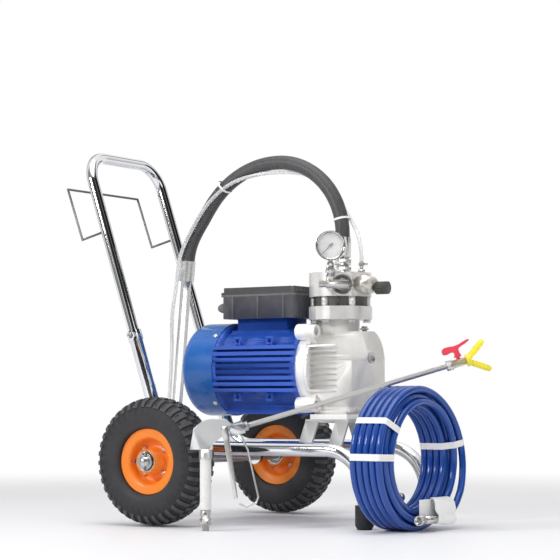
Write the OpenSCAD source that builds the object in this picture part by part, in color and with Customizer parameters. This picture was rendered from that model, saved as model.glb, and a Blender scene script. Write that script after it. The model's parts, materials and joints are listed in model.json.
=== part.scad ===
// Airless diaphragm paint sprayer on a two-wheeled cart, with its gun and a coiled hose.
// X is forward, Y is left, Z is up. The origin is on the floor, under the wheel axle.
// Sizes are in millimetres.

/* [Cart] */
// Outer diameter of a tyre
tyre_d = 260; // [240:1:280]
// Width of a tyre
tyre_w = 84; // [70:1:90]
// Distance between the middles of the two tyres
track = 482; // [460:1:520]
// Diameter of the axle
axle_d = 20; // [18:1:22]
// Outer diameter of the frame tube
frame_d = 28; // [26:1:30]
// Wall of the frame tube
frame_wall = 1.8; // [1.5:0.1:2.2]
// Distance between the middles of the two frame tubes
frame_w = 254; // [240:1:270]
// Distance from the axle forward to the legs
leg_x = 418; // [410:1:440]
// Bend radius of the frame tube above a leg
leg_bend = 85; // [70:1:95]
// Height of the top of the frame sleeves
sleeve_top = 398; // [380:1:410]
// Height of the handle's crossbar
handle_h = 779; // [740:1:820]
// Height of a rubber foot
foot_h = 47; // [40:1:55]

/* [Motor] */
// Height of the motor's axis
motor_z = 316; // [312:1:322]
// Outer diameter of the fan cover
cover_d = 195; // [190:1:200]
// Length of the fan cover
cover_l = 83; // [75:1:90]
// Rear face of the finned body
body_x = 38; // [34:1:40]
// Length of the finned body
body_l = 198; // [190:1:202]
// Number of cooling fins on each side
side_fins = 8; // [6:1:9]
// Length of the terminal box
box_l = 184; // [170:1:186]
// Width of the terminal box
box_w = 120; // [100:1:130]
// Height of the terminal box with its lid
box_h = 65; // [60:1:72]

/* [Pump] */
// Length of the crankcase from the motor's end shield
crank_l = 101; // [98:1:106]
// Width of the crankcase
crank_w = 136; // [130:1:140]
// Distance from the axle forward to the pump's axis
pump_x = 292; // [290:1:296]
// Diameter of the pump's head
head_d = 130; // [126:1:132]
// Height of the head block's top
head_top = 511; // [505:1:515]
// Diameter of the pressure gauge
gauge_d = 60; // [55:1:66]
// Direction that the gauge faces, in degrees from forward
gauge_turn = -60; // [-70:1:-50]

/* [Suction] */
// Outer diameter of the suction hose
hose_d = 30; // [27:1:31]
// Height of the top of the suction hose's arch, at its middle line
arch_top = 750; // [740:1:760]
// Outer diameter of the suction pipe
pipe_d = 22; // [20:1:24]

/* [Gun] */
// Distance from the axle forward to the gun's grip
gun_x = 166; // [160:1:172]
// Distance from the middle of the cart to the gun's grip
gun_y = 306; // [304:1:315]
// Diameter of the spray pole
pole_d = 10; // [9:0.5:11]
// Length of the spray pole
pole_l = 400; // [380:1:420]

/* [Paint hose] */
// Outer diameter of the paint hose
line_d = 14; // [12.5:0.1:14]
// Outer diameter of the coil
coil_d = 280; // [276:1:290]
// Gap between neighbouring turns
turn_gap = 0.6; // [0.5:0.1:0.8]

/* [Hidden] */
$fn = 48;

// Colours
chrome_c = [0.80, 0.81, 0.83];
steel_c = [0.62, 0.63, 0.65];
alloy_c = [0.78, 0.78, 0.76];
blue_c = [0.05, 0.20, 0.62];
cover_blue_c = [0.05, 0.30, 0.60];
black_c = [0.08, 0.08, 0.09];
rubber_c = [0.06, 0.06, 0.06];
orange_c = [0.95, 0.40, 0.05];
copper_c = [0.72, 0.42, 0.20];
white_c = [0.93, 0.93, 0.92];
yellow_c = [0.95, 0.85, 0.10];
red_c = [0.90, 0.15, 0.20];
hose_blue_c = [0.08, 0.20, 0.60];

// Cart, derived
wheel_z = tyre_d / 2;
frame_y = frame_w / 2;
frame_r = frame_d / 2;
frame_z = wheel_z + axle_d / 2 + frame_r;
bore_r = frame_r - frame_wall;
handle_gap = 0.2;
handle_r = bore_r - handle_gap;
rear_bend = 70;
rear_x = -8;
handle_lean = 18.566;
sleeve_z = frame_z + rear_bend * (1 - sin(handle_lean));
sleeve_l = round((sleeve_top - sleeve_z) / cos(handle_lean));
handle_l = (handle_h - sleeve_z) / cos(handle_lean);
handle_corner = 60;
insert = 60;
hanger_z = 615;
collar_h = 22;
axle_half = track / 2 + 46;
hub_half = 34;

// Wheel, derived
rim_r = 66;
seat_r = 51;
rim_half = 25;
hub_r = 24;
bearing_r = 21;
bearing_w = 12;
rim_sheet = 2.5;
valve_r = 2.6;
valve_foot = [seat_r - 5, 0, 14.8];
valve_top = [30, 0, 22];
run_fit = 0.05;

// Motor, derived
cover_r = cover_d / 2;
cover_wall = 2;
cover_round = 22;
body_r = cover_r - 3;
body_end = body_x + body_l;
shield_l = 20;
lug = [74, 74];
lug_r = 16;
lug_l = 24;
crank_x = body_end + shield_l;
crank_end = crank_x + crank_l;
shaft_r = 12.5;
ball_r = 26;
ball_w = 15;
stator_r = 76;
rotor_r = 58;
fin_pitch = 12.6;
fin_t = 7.6;
box_gap = 9;
box_x = pump_x - head_d / 2 - box_gap - box_l;
box_z = motor_z + 105;
lid_h = 15;
pad_z = motor_z + 80;

// Pump, derived
neck_r = 39;
flange_z = motor_z + 99;
flange_h = 27;
ring_h = 20;
block_z = flange_z + flange_h + ring_h;
head_r = head_d / 2;
bolt_circle = head_r - 7;
head_bolt_n = 6;
head_bolt_turn = gauge_turn + 25;
sleeve_r = 7.5;
foot_z = 213;
outlet_z = block_z + 23;
manifold_out = head_r + 8;
thread_r = 6.6;
gauge_z = outlet_z + 77;
gauge_shift = 25;
reg_x = pump_x + head_r - 4;
reg_z = outlet_z + 1;
knob_z = reg_z - 7.5;

// Suction, derived
hose_r = hose_d / 2;
hose_bore = hose_r - 5;
inlet_x = pump_x + 6;
arch_r = 160;
arch_z = arch_top - arch_r;
arch_x = inlet_x - arch_r;
side_r = 208;
side_turn = 55;
slope_l = 60;
drop_r = 130;
drop_turn = 29.8;
pipe_tilt = 90 - side_turn - drop_turn;
slope_x = arch_x - side_r * sin(side_turn);
slope_z = arch_top - side_r * (1 - cos(side_turn));
drop_x = slope_x - slope_l * cos(side_turn);
drop_z = slope_z - slope_l * sin(side_turn);
tail_x = drop_x - drop_r * (cos(pipe_tilt) - cos(90 - side_turn));
tail_z = drop_z - drop_r * (sin(90 - side_turn) - sin(pipe_tilt));
ferrule_l = 42;

// Coil, derived
coil_turns = 5;
line_r = line_d / 2;
step = line_d + turn_gap;
coil_w = coil_turns * step;
coil_r1 = coil_d / 2 - line_r;
coil_r2 = coil_r1 - step;
coil_r3 = coil_r2 - step;
coil_x = leg_x + 81;
coil_y = -108;
coil_turn = -5;
ring_n = 24;
lead_w = 16;
lead_rise = 5;
swell = 2.5;
start_angle = -30;
end_turns = 14.66;
leave_r = 100;
inner_r = 56;

out_c = (coil_r1 - leave_r) * [cos(start_angle), sin(start_angle)];
end_angle = start_angle + 360 * end_turns;
in_c = (coil_r3 - inner_r) * [cos(end_angle), sin(end_angle)];
in_sweep = 270 - (end_angle % 360);
out_end = [out_c.x, out_c.y - leave_r, coil_w + lead_w + lead_rise];
in_end = [in_c.x, in_c.y - inner_r, wind_w(end_turns)];

// Gun, derived
rest_back = 8;
gun_turn = atan2(coil_y + gun_y, coil_x - rest_back - gun_x);
nose_out = 84;
nose_z = 204;
trigger_pin = [36, 196];
guard_wire = 1.8;
guard_top = [62, 0, 196];
guard_knee = [72, 0, 178];
rest_gap = 0.4;
pole_rise = max([for (p = coil_points_close()) rise_over(coil_place(p))]);

echo(coil_length_m = coil_length() / 1000, least_gap_mm = coil_gap());

frame_right();
frame_left();
axle();
axle_retainers();
motor_bracket();
feet();
sleeve_screws();
handle();
hose_hanger();
tyre_right();
rim_right();
bearings_right();
rim_bolts_right();
tyre_left();
rim_left();
bearings_left();
rim_bolts_left();
fan_cover();
motor_body();
stator();
rotor();
motor_shaft();
fan();
motor_bearings();
end_shield();
motor_screws();
terminal_box();
box_lid();
cable_gland();
crankcase();
flange_bolts();
crankcase_plugs();
eccentric();
piston();
pump_flange();
diaphragm();
head_block();
head_bolts();
outlet_manifold();
pressure_gauge();
gauge_glass();
gauge_needle();
regulator_body();
pressure_knob();
bleed_valve();
hose_ferrules();
suction_hose();
suction_pipe();
return_tube();
gun_body();
gun_trigger();
trigger_guard();
gun_grip();
inlet_swivel();
spray_pole();
tip_guard();
spray_tip();
hose_coil();
coil_fittings();
coil_ties();

// ---- Helpers ----

// A round bar from one point to another
module rod(from, to, r) {
    v = to - from;
    translate(from)
        rotate([0, acos(v.z / norm(v)), atan2(v.y, v.x)])
            cylinder(r = r, h = norm(v));
}

// A round bar along X, centred on the motor's axis
module on_shaft(x, r, l) {
    translate([x, 0, motor_z]) rotate([0, 90, 0]) cylinder(r = r, h = l);
}

// A rectangle with round corners, centred
module round_rect(w, h, r) {
    square([w - 2 * r, h], center = true);
    square([w, h - 2 * r], center = true);
    for (i = [-1, 1], j = [-1, 1]) translate([i * (w / 2 - r), j * (h / 2 - r)]) circle(r);
}

// A hexagon nut or head, by its width across flats
module hex(across, h) {
    cylinder(r = across / sqrt(3), h = h, $fn = 6);
}

// A cap screw's head with its hexagon socket, the head's top at the far end
module cap_head(r, h) {
    difference() {
        cylinder(r = r, h = h, $fn = 24);
        translate([0, 0, h / 2]) hex(r, h);
    }
}

function unit(v) = v / norm(v);

// The ring of a tube at one point of its route
function ring_at(p, t, ref, r, n) =
    let (side = unit(cross(t, ref)), up = cross(side, t))
    [for (k = [0 : n - 1]) p + r * (cos(360 * k / n) * side + sin(360 * k / n) * up)];

// A bar along a list of points as one closed surface, or a tube if a bore is given
module sweep(pts, r, n, ref, bore = 0) {
    last = len(pts) - 1;
    ways = [for (i = [0 : last]) unit(pts[min(i + 1, last)] - pts[max(i - 1, 0)])];
    outer = [for (i = [0 : last]) each ring_at(pts[i], ways[i], ref, r, n)];
    inner = bore > 0 ? [for (i = [0 : last]) each ring_at(pts[i], ways[i], ref, bore, n)] : [];
    m = len(outer);
    walls = [
        for (i = [0 : last - 1], k = [0 : n - 1])
            let (a = i * n + k, b = i * n + (k + 1) % n)
            each concat(
                [[a, b, a + n], [b, b + n, a + n]],
                bore > 0 ? [[m + a + n, m + b, m + a], [m + a + n, m + b + n, m + b]] : []
            )
    ];
    ends = bore > 0
        ? [
            for (k = [0 : n - 1])
                let (a = k, b = (k + 1) % n, c = last * n + a, d = last * n + b)
                each [[b, a, m + a], [b, m + a, m + b], [c, d, m + d], [c, m + d, m + c]]
        ]
        : [
            for (k = [1 : n - 2])
                each [[0, k + 1, k], [last * n, last * n + k, last * n + k + 1]]
        ];
    polyhedron(points = concat(outer, inner), faces = concat(walls, ends), convexity = 10);
}

// A smooth curve through a few points
function spline(p, steps) = [
    for (i = [0 : len(p) - 2], k = [0 : steps - 1])
        let (
            a = p[max(i - 1, 0)],
            b = p[i],
            c = p[i + 1],
            d = p[min(i + 2, len(p) - 1)],
            t = k / steps
        )
        0.5 * (2 * b + (c - a) * t + (2 * a - 5 * b + 4 * c - d) * t * t
            + (3 * b - a - 3 * c + d) * t * t * t),
    p[len(p) - 1]
];

// ---- Cart ----

// The leaning sleeve stands in this frame: Z along it, origin where the rear bend starts
module in_sleeve() {
    translate([rear_x, 0, frame_z + rear_bend])
        rotate([0, -handle_lean, 0]) translate([-rear_bend, 0, 0]) children();
}

// A tube's bend in the XZ plane round the origin, by its radii and angles
module bend(bend_r, r, start, sweep) {
    rotate([90, 0, 0])
        rotate_extrude(angle = sweep, start = start) translate([bend_r, 0]) circle(r);
}

// The route of a frame tube: sleeve, rear bend, rail, front bend and leg
module frame_route(r, extra) {
    front_x = leg_x - leg_bend;
    in_sleeve() {
        cylinder(r = r, h = sleeve_l + extra);
        translate([rear_bend, 0, 0]) bend(rear_bend, r, 180, 90 - handle_lean);
    }
    translate([rear_x, 0, frame_z]) rotate([0, 90, 0]) cylinder(r = r, h = front_x - rear_x);
    translate([front_x, 0, frame_z - leg_bend]) bend(leg_bend, r, 0, 90);
    translate([leg_x, 0, foot_h / 4 - extra])
        cylinder(r = r, h = frame_z - leg_bend - foot_h / 4 + extra);
}

// A frame tube with the collar on its sleeve and the plate that carries the axle
module side_frame(side) {
    difference() {
        union() {
            frame_route(frame_r, 0);
            in_sleeve()
                translate([0, 0, sleeve_l - collar_h]) cylinder(r = frame_r + 2, h = collar_h);
            translate([0, 4, wheel_z])
                rotate([90, 0, 0])
                    linear_extrude(8) {
                        circle(axle_d / 2 + 8);
                        translate([-axle_d / 2 - 8, 0]) square([axle_d + 16, axle_d / 2 + 6]);
                    }
        }
        frame_route(bore_r, 2);
        translate([0, 10, wheel_z]) rotate([90, 0, 0]) cylinder(d = axle_d, h = 20);
        in_sleeve()
            translate([0, 0, sleeve_l - collar_h / 2])
                rotate([-side * 90, 0, 0]) cylinder(r = 3, h = 2 * frame_r, $fn = 24);
    }
}

module frame_right() {
    color(chrome_c) translate([0, -frame_y, 0]) side_frame(-1);
}

module frame_left() {
    color(chrome_c) translate([0, frame_y, 0]) side_frame(1);
}

module axle() {
    color(steel_c)
        difference() {
            translate([0, axle_half, wheel_z])
                rotate([90, 0, 0]) cylinder(d = axle_d, h = 2 * axle_half);
            for (s = [-1, 1])
                translate([0, s * (axle_half - 5), wheel_z - axle_d])
                    cylinder(r = 2, h = 2 * axle_d);
        }
}

// A washer and a split pin at each end of the axle
module axle_retainers() {
    pin_y = axle_half - 5;
    color(steel_c)
        for (s = [-1, 1]) {
            translate([0, s * (pin_y - 3.5), wheel_z])
                rotate([90, 0, 0])
                    difference() {
                        cylinder(r = axle_d / 2 + 7, h = 2, center = true);
                        cylinder(d = axle_d, h = 4, center = true);
                    }
            translate([0, s * pin_y, wheel_z - axle_d / 2 - 8])
                cylinder(r = 2, h = axle_d + 11);
            translate([0, s * pin_y, wheel_z + axle_d / 2 + 5])
                rotate([90, 0, 0]) rotate_extrude() translate([4, 0]) circle(1.6, $fn = 16);
        }
}

// The pressed bracket: a table under the crankcase and two legs on each rail
module motor_bracket() {
    table = 7;
    leg = 30;
    reach = frame_y - 42;
    start = crank_x + 2;
    l = crank_l + 1;
    drop = foot_z - frame_z;
    lean = atan2(36, drop);
    color(steel_c)
        difference() {
            union() {
                translate([start, -reach, foot_z - table]) cube([l, 2 * reach, table]);
                for (s = [-1, 1], x = [start + 1, start + l - leg - 1])
                    translate([x, s * reach, foot_z - table])
                        rotate([s * lean, 0, 0])
                            translate([0, -2.5, -drop / cos(lean)])
                                cube([leg, 5, drop / cos(lean) + 3]);
            }
            for (x = [crank_x + 22, crank_x + 78], y = [-50, 50])
                translate([x, y, foot_z - 2 * table]) cylinder(r = 4.5, h = 3 * table);
            translate([crank_x + 32, -34, foot_z - 2 * table]) cube([36, 68, 3 * table]);
            for (s = [-1, 1])
                translate([start - 1, s * frame_y, frame_z])
                    rotate([0, 90, 0]) cylinder(r = frame_r, h = l + 2);
        }
}

module feet() {
    color(rubber_c)
        for (s = [-1, 1])
            translate([leg_x, s * frame_y, 0])
                difference() {
                    union() {
                        cylinder(r1 = 14, r2 = 18.5, h = 8);
                        translate([0, 0, 8]) cylinder(r = 18.5, h = foot_h - 8);
                    }
                    translate([0, 0, foot_h / 4]) cylinder(r = frame_r, h = foot_h);
                }
}

// The lock screws that clamp the handle in the frame's sleeves
module sleeve_screws() {
    color(steel_c)
        for (s = [-1, 1])
            translate([0, s * frame_y, 0])
                in_sleeve()
                    translate([0, s * frame_r, sleeve_l - collar_h / 2])
                        rotate([-s * 90, 0, 0]) {
                            translate([0, 0, -frame_wall])
                                cylinder(r = 3, h = frame_wall + 3, $fn = 24);
                            translate([0, 0, 2.2]) cap_head(6, 5);
                        }
}

module handle_route(r, extra) {
    side = handle_l - handle_corner;
    foot = sleeve_l - insert - extra;
    for (s = [-1, 1]) {
        translate([0, s * frame_y, foot]) cylinder(r = r, h = side - foot);
        translate([0, s * (frame_y - handle_corner), side])
            rotate([0, -90, 0])
                rotate([0, 0, s > 0 ? 0 : -90])
                    rotate_extrude(angle = 90) translate([handle_corner, 0]) circle(r);
    }
    translate([0, frame_y - handle_corner, handle_l])
        rotate([90, 0, 0]) cylinder(r = r, h = frame_w - 2 * handle_corner);
}

module handle() {
    color(chrome_c)
        in_sleeve()
            difference() {
                handle_route(handle_r, 0);
                handle_route(handle_r - 1.5, 1);
            }
}

// The wire hook behind the handle on which the paint hose hangs
module hose_hanger() {
    wire = 2.5;
    low = (hanger_z - sleeve_z) / cos(handle_lean);
    rise = 123;
    back = -67;
    half = round(frame_y);
    pts = [
        [1 - handle_r, -half, 0], [back, -half, 4], [back - 3, -half, rise],
        [back - 3, half, rise], [back, half, 4], [1 - handle_r, half, 0]
    ];
    color(chrome_c)
        in_sleeve()
            translate([0, 0, low])
                difference() {
                    union() {
                        for (i = [0 : len(pts) - 2]) rod(pts[i], pts[i + 1], wire);
                        for (i = [1 : 4]) translate(pts[i]) sphere(wire + 0.1, $fn = 24);
                    }
                    for (s = [-1, 1])
                        translate([0, s * frame_y, -20]) cylinder(r = handle_r, h = 40);
                }
}

// ---- Wheels ----

// A wheel's pieces are drawn round Z and laid on the axle; outward is +Z
module on_wheel(side) {
    translate([0, side * track / 2, wheel_z]) rotate([-side * 90, 0, 0]) children();
}

// Half the tyre's section, from the bead to the crown, bulged by a formula
function tyre_side(n) = [
    for (i = [0 : n])
        let (a = 90 * i / n)
        [
            seat_r + 6 + (wheel_z - seat_r - 6) * pow(sin(a), 0.8),
            tyre_w / 2 * pow(cos(a), 0.45)
        ]
];

module tyre() {
    half = tyre_side(9);
    other = [for (i = [len(half) - 2 : -1 : 0]) [half[i].x, -half[i].y]];
    lug_n = 26;
    difference() {
        rotate_extrude($fn = 72)
            difference() {
                polygon(concat([[seat_r + 6, 0]], half, other));
                translate([0, -tyre_w / 2]) square([rim_r + 0.5, tyre_w]);
            }
        for (s = [-1, 1], i = [0 : lug_n - 1])
            rotate([0, 0, (i + (s > 0 ? 0.5 : 0)) * 360 / lug_n])
                translate([wheel_z - 9, -2.5, s > 0 ? 14 : -tyre_w / 2])
                    cube([12, 5, tyre_w / 2 - 14]);
    }
    rotate_extrude($fn = 72)
        polygon([
            [seat_r, -rim_half + 6], [seat_r, rim_half - 6], [rim_r + 1, rim_half - 2],
            [rim_r + 1, 2 - rim_half]
        ]);
}

// A split rim: two pressed halves back to back round a hub tube
module rim() {
    t = rim_sheet;
    half = [
        [axle_d / 2 + 2, hub_half - bearing_w], [bearing_r, hub_half - bearing_w],
        [bearing_r, hub_half], [hub_r, hub_half], [hub_r, t], [seat_r - 11, t],
        [seat_r - 2 * t, 10], [seat_r - 2 * t, rim_half - 1], [rim_r - 3, rim_half + 2.4],
        [rim_r, rim_half + 3], [rim_r - 3, rim_half], [seat_r - t, rim_half - 4],
        [seat_r - t, 9], [seat_r - 8, 0]
    ];
    other = [for (i = [len(half) - 2 : -1 : 0]) [half[i].x, -half[i].y]];
    difference() {
        rotate_extrude($fn = 72) polygon(concat(half, other));
        for (i = [0 : 3])
            rotate([0, 0, 45 + 90 * i])
                translate([34, 0, -10]) cylinder(r = 3, h = 20, $fn = 24);
        rotate([0, 0, 180])
            rod(valve_top + 1.45 * (valve_foot - valve_top), valve_top, valve_r + 0.1);
    }
}

module wheel_bearings() {
    for (s = [-1, 1])
        translate([0, 0, s * (hub_half - bearing_w / 2)])
            rotate_extrude() {
                translate([bearing_r - 4, -bearing_w / 2]) square([4, bearing_w]);
                translate([axle_d / 2 + run_fit, -bearing_w / 2]) square([3, bearing_w]);
                translate([axle_d / 2 + 2, -bearing_w / 2 + 2])
                    square([bearing_r - axle_d / 2 - 4, bearing_w - 4]);
            }
}

// Four bolts that hold the rim halves together, and the tyre valve
module rim_bolts() {
    for (i = [0 : 3])
        rotate([0, 0, 45 + 90 * i])
            translate([34, 0, 0]) {
                translate([0, 0, -10]) cylinder(r = 3, h = 20, $fn = 24);
                translate([0, 0, rim_sheet]) hex(10, 5);
                translate([0, 0, -rim_sheet - 5]) hex(10, 5);
            }
    rotate([0, 0, 180]) {
        rod(valve_foot, valve_top, valve_r);
        rod([36, 0, 19.3], [29, 0, 22.5], 4.4);
    }
}

module tyre_right() {
    color(rubber_c) on_wheel(-1) tyre();
}

module tyre_left() {
    color(rubber_c) on_wheel(1) tyre();
}

module rim_right() {
    color(orange_c) on_wheel(-1) rim();
}

module rim_left() {
    color(orange_c) on_wheel(1) rim();
}

module bearings_right() {
    color(steel_c) on_wheel(-1) wheel_bearings();
}

module bearings_left() {
    color(steel_c) on_wheel(1) wheel_bearings();
}

module rim_bolts_right() {
    color(chrome_c) on_wheel(-1) rim_bolts();
}

module rim_bolts_left() {
    color(chrome_c) on_wheel(1) rim_bolts();
}

// ---- Motor ----

// The sheet cover over the fan, open towards the body, slotted at the rear
module fan_cover() {
    rear = body_x - cover_l;
    inner = cover_r - cover_wall;
    slot_n = 24;
    color(cover_blue_c)
        difference() {
            union() {
                on_shaft(rear + cover_round, cover_r, cover_l - cover_round);
                on_shaft(rear, cover_r - cover_round, cover_round);
                translate([rear + cover_round, 0, motor_z])
                    rotate([0, 90, 0])
                        rotate_extrude() translate([cover_r - cover_round, 0]) circle(cover_round);
            }
            on_shaft(rear + cover_round, inner, cover_l);
            on_shaft(rear + cover_wall, cover_r - cover_round, cover_round);
            translate([rear + cover_round, 0, motor_z])
                rotate([0, 90, 0])
                    rotate_extrude()
                        translate([cover_r - cover_round, 0]) circle(cover_round - cover_wall);
            for (i = [0 : slot_n - 1])
                translate([rear - 1, 0, motor_z])
                    rotate([i * 360 / slot_n, 0, 0]) translate([0, 34, -2]) cube([9, 44, 4]);
            for (i = [0 : 3])
                translate([body_x - 8, 0, motor_z])
                    rotate([45 + 90 * i, 0, 0]) translate([0, 0, cover_r - 10])
                        cylinder(r = 2.6, h = 20, $fn = 24);
        }
}

// The cast body: a bored drum with fins at the sides and bosses above and below
module motor_body() {
    boss_n = [45, 123];
    color(blue_c)
        difference() {
            union() {
                on_shaft(body_x, body_r - 8, body_l);
                on_shaft(body_x - 14, cover_r - cover_wall - 0.2, 22);
                on_shaft(body_end - 10, body_r - 1, 10);
                for (s = [-1, 1], i = [0 : side_fins - 1])
                    translate([
                        body_x,
                        s > 0 ? 60 : -body_r,
                        motor_z + (i - (side_fins - 1) / 2) * fin_pitch - fin_t / 2
                    ])
                        cube([body_l, body_r - 60, fin_t]);
                for (s = [-1, 1], i = [1 : 3])
                    translate([body_x, s * i * fin_pitch - fin_t / 2, motor_z - body_r + 1])
                        cube([body_l, fin_t, 30]);
                for (s = [-1, 1], x = boss_n, z = [-57, 57])
                    translate([body_x + x, s * (body_r - 26), motor_z + z - 9])
                        translate([0, -13, 0]) cube([18, 26, 18]);
                translate([body_x + 18, -46, motor_z + 50]) cube([140, 92, pad_z - motor_z - 50]);
                translate([body_x + 28, -40, pad_z - 5]) cube([120, 80, box_z - pad_z + 5]);
            }
            on_shaft(body_x, stator_r, body_l + 1);
            on_shaft(body_x - 9, ball_r, 20);
            on_shaft(body_x - 15, shaft_r + 2, 20);
            for (s = [-1, 1], x = boss_n, z = [-57, 57])
                translate([body_x + x + 9, s * (body_r - 13), motor_z + z])
                    rotate([s * 90, 0, 0]) cylinder(r = 4.5, h = 16, center = true, $fn = 24);
            translate([body_x + 58, -20, motor_z + stator_r - 5]) cube([50, 40, 60]);
            for (i = [0 : 3])
                translate([body_x - 8, 0, motor_z])
                    rotate([45 + 90 * i, 0, 0]) translate([0, 0, cover_r - 10])
                        cylinder(r = 2.5, h = 12, $fn = 24);
        }
}

// The wound core pressed into the body: stack and two winding heads
module stator() {
    color(copper_c)
        difference() {
            union() {
                on_shaft(body_x + 50, stator_r, 104);
                on_shaft(body_x + 30, stator_r - 8, 144);
            }
            on_shaft(body_x + 29, rotor_r + 0.6, 146);
        }
}

module rotor() {
    color(steel_c)
        difference() {
            union() {
                on_shaft(body_x + 50, rotor_r, 104);
                on_shaft(body_x + 42, rotor_r - 8, 120);
            }
            on_shaft(body_x + 41, shaft_r + 3, 122);
        }
}

module motor_shaft() {
    color(steel_c) {
        on_shaft(body_x - 60, shaft_r - 3, 51);
        on_shaft(body_x - 9, shaft_r, body_l + shield_l + 60);
        on_shaft(body_x + 30, shaft_r + 3, 140);
    }
}

// The cooling fan: a hub, a disc and straight blades
module fan() {
    blade_n = 9;
    color(black_c)
        difference() {
            union() {
                on_shaft(body_x - 56, shaft_r + 6, 30);
                on_shaft(body_x - 32, cover_r - 16, 3);
                for (i = [0 : blade_n - 1])
                    translate([body_x - 56, 0, motor_z])
                        rotate([i * 360 / blade_n, 0, 0])
                            translate([0, -1.5, shaft_r + 2]) cube([25, 3, 60]);
            }
            on_shaft(body_x - 61, shaft_r - 3, 52);
        }
}

module ball_bearing(x) {
    translate([x, 0, motor_z])
        rotate([0, 90, 0])
            rotate_extrude() {
                translate([ball_r - 5, 0]) square([5, ball_w]);
                translate([shaft_r + run_fit, 0]) square([4.5, ball_w]);
                translate([shaft_r + 3, 3]) square([ball_r - shaft_r - 6, ball_w - 6]);
            }
}

module motor_bearings() {
    color(steel_c) {
        ball_bearing(body_x - 9);
        ball_bearing(body_end + 2);
    }
}

// The silver shield between body and crankcase, scalloped round four bolt lugs
module end_shield() {
    color(alloy_c)
        difference() {
            union() {
                on_shaft(body_end, body_r - 5, shield_l);
                for (i = [-1, 1], j = [-1, 1])
                    translate([body_end, i * lug.x, motor_z + j * lug.y])
                        rotate([0, 90, 0]) cylinder(r = lug_r, h = shield_l);
                for (j = [-1, 1])
                    translate([body_end, 0, motor_z + j * (body_r - 10)])
                        rotate([0, 90, 0]) cylinder(r = 14, h = shield_l);
            }
            on_shaft(body_end + 2, ball_r, ball_w + 0.5);
            on_shaft(body_end - 1, shaft_r + 3, shield_l + 2);
            for (i = [-1, 1], j = [-1, 1])
                translate([body_end - 1, i * lug.x, motor_z + j * lug.y])
                    rotate([0, 90, 0]) cylinder(r = 5, h = shield_l + 2);
        }
}

// Eight pan-head screws: four hold the fan cover, four hold the box lid
module motor_screws() {
    color(chrome_c) {
        for (i = [0 : 3])
            translate([body_x - 8, 0, motor_z])
                rotate([45 + 90 * i, 0, 0]) {
                    translate([0, 0, cover_r - 9]) cylinder(r = 2.5, h = 10, $fn = 24);
                    translate([0, 0, cover_r]) cylinder(r = 4.5, h = 3, $fn = 24);
                }
        for (x = [10, box_l - 10], s = [-1, 1])
            translate([box_x + x, s * (box_w / 2 - 10), box_z + box_h]) {
                translate([0, 0, -12]) cylinder(r = 2.5, h = 13, $fn = 24);
                translate([0, 0, -2]) cylinder(r = 4.5, h = 3, $fn = 24);
            }
    }
}

// The open terminal box: ribbed walls, with a duct down into the body
module terminal_box() {
    h = box_h - lid_h;
    mid_x = box_x + box_l / 2;
    color(black_c)
        difference() {
            union() {
                translate([mid_x, 0, box_z])
                    linear_extrude(h) round_rect(box_l - 6, box_w - 6, 8);
                translate([mid_x, 0, box_z + h - 4])
                    linear_extrude(4) round_rect(box_l, box_w, 8);
                for (x = [30, 92, 154], s = [-1, 1])
                    translate([box_x + x, s * (box_w / 2 - 2) - 2, box_z]) cube([3, 4, h - 2]);
                for (y = [-45 : 10 : 45])
                    translate([box_x + box_l - 5, y - 1.5, box_z]) cube([4, 3, h - 2]);
            }
            translate([mid_x, 0, box_z + 3])
                linear_extrude(h) round_rect(box_l - 12, box_w - 12, 6);
            translate([body_x + 62, -16, box_z - 1]) cube([42, 32, 6]);
            translate([box_x - 5, -30, box_z + 24]) rotate([0, 90, 0]) cylinder(r = 8, h = 20);
        }
    color(black_c)
        for (x = [10, box_l - 10], s = [-1, 1])
            translate([box_x + x, s * (box_w / 2 - 10), box_z + 1])
                difference() {
                    cylinder(r = 5, h = h - 1);
                    translate([0, 0, h - 14]) cylinder(r = 2.5, h = 20, $fn = 24);
                }
}

// The lid, a shallow cap with a stepped top and a ribbed front end
module box_lid() {
    mid_x = box_x + box_l / 2;
    z = box_z + box_h - lid_h;
    color(black_c)
        difference() {
            union() {
                translate([mid_x, 0, z]) linear_extrude(5) round_rect(box_l, box_w, 8);
                translate([mid_x, 0, z])
                    linear_extrude(lid_h) round_rect(box_l - 8, box_w - 8, 8);
                for (y = [-45 : 10 : 45])
                    translate([box_x + box_l - 6, y - 1.5, z]) cube([4, 3, lid_h - 2]);
            }
            translate([mid_x, 0, z - 1])
                linear_extrude(lid_h - 2) round_rect(box_l - 36, box_w - 36, 6);
            for (x = [10, box_l - 10], s = [-1, 1])
                translate([box_x + x, s * (box_w / 2 - 10), z - 1]) {
                    cylinder(r = 2.5, h = 40, $fn = 24);
                    translate([0, 0, lid_h - 1]) cylinder(r = 4.5, h = 10, $fn = 24);
                }
        }
}

module cable_gland() {
    color(black_c)
        translate([box_x + 3, -30, box_z + 24])
            rotate([0, -90, 0])
                difference() {
                    union() {
                        translate([0, 0, -10]) cylinder(r = 8, h = 12);
                        hex(24, 8);
                        cylinder(r = 10, h = 17);
                        translate([0, 0, 17]) cylinder(r1 = 10, r2 = 6.5, h = 7);
                    }
                    translate([0, 0, -11]) cylinder(r = 4, h = 40);
                }
}

// ---- Crankcase ----

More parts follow.
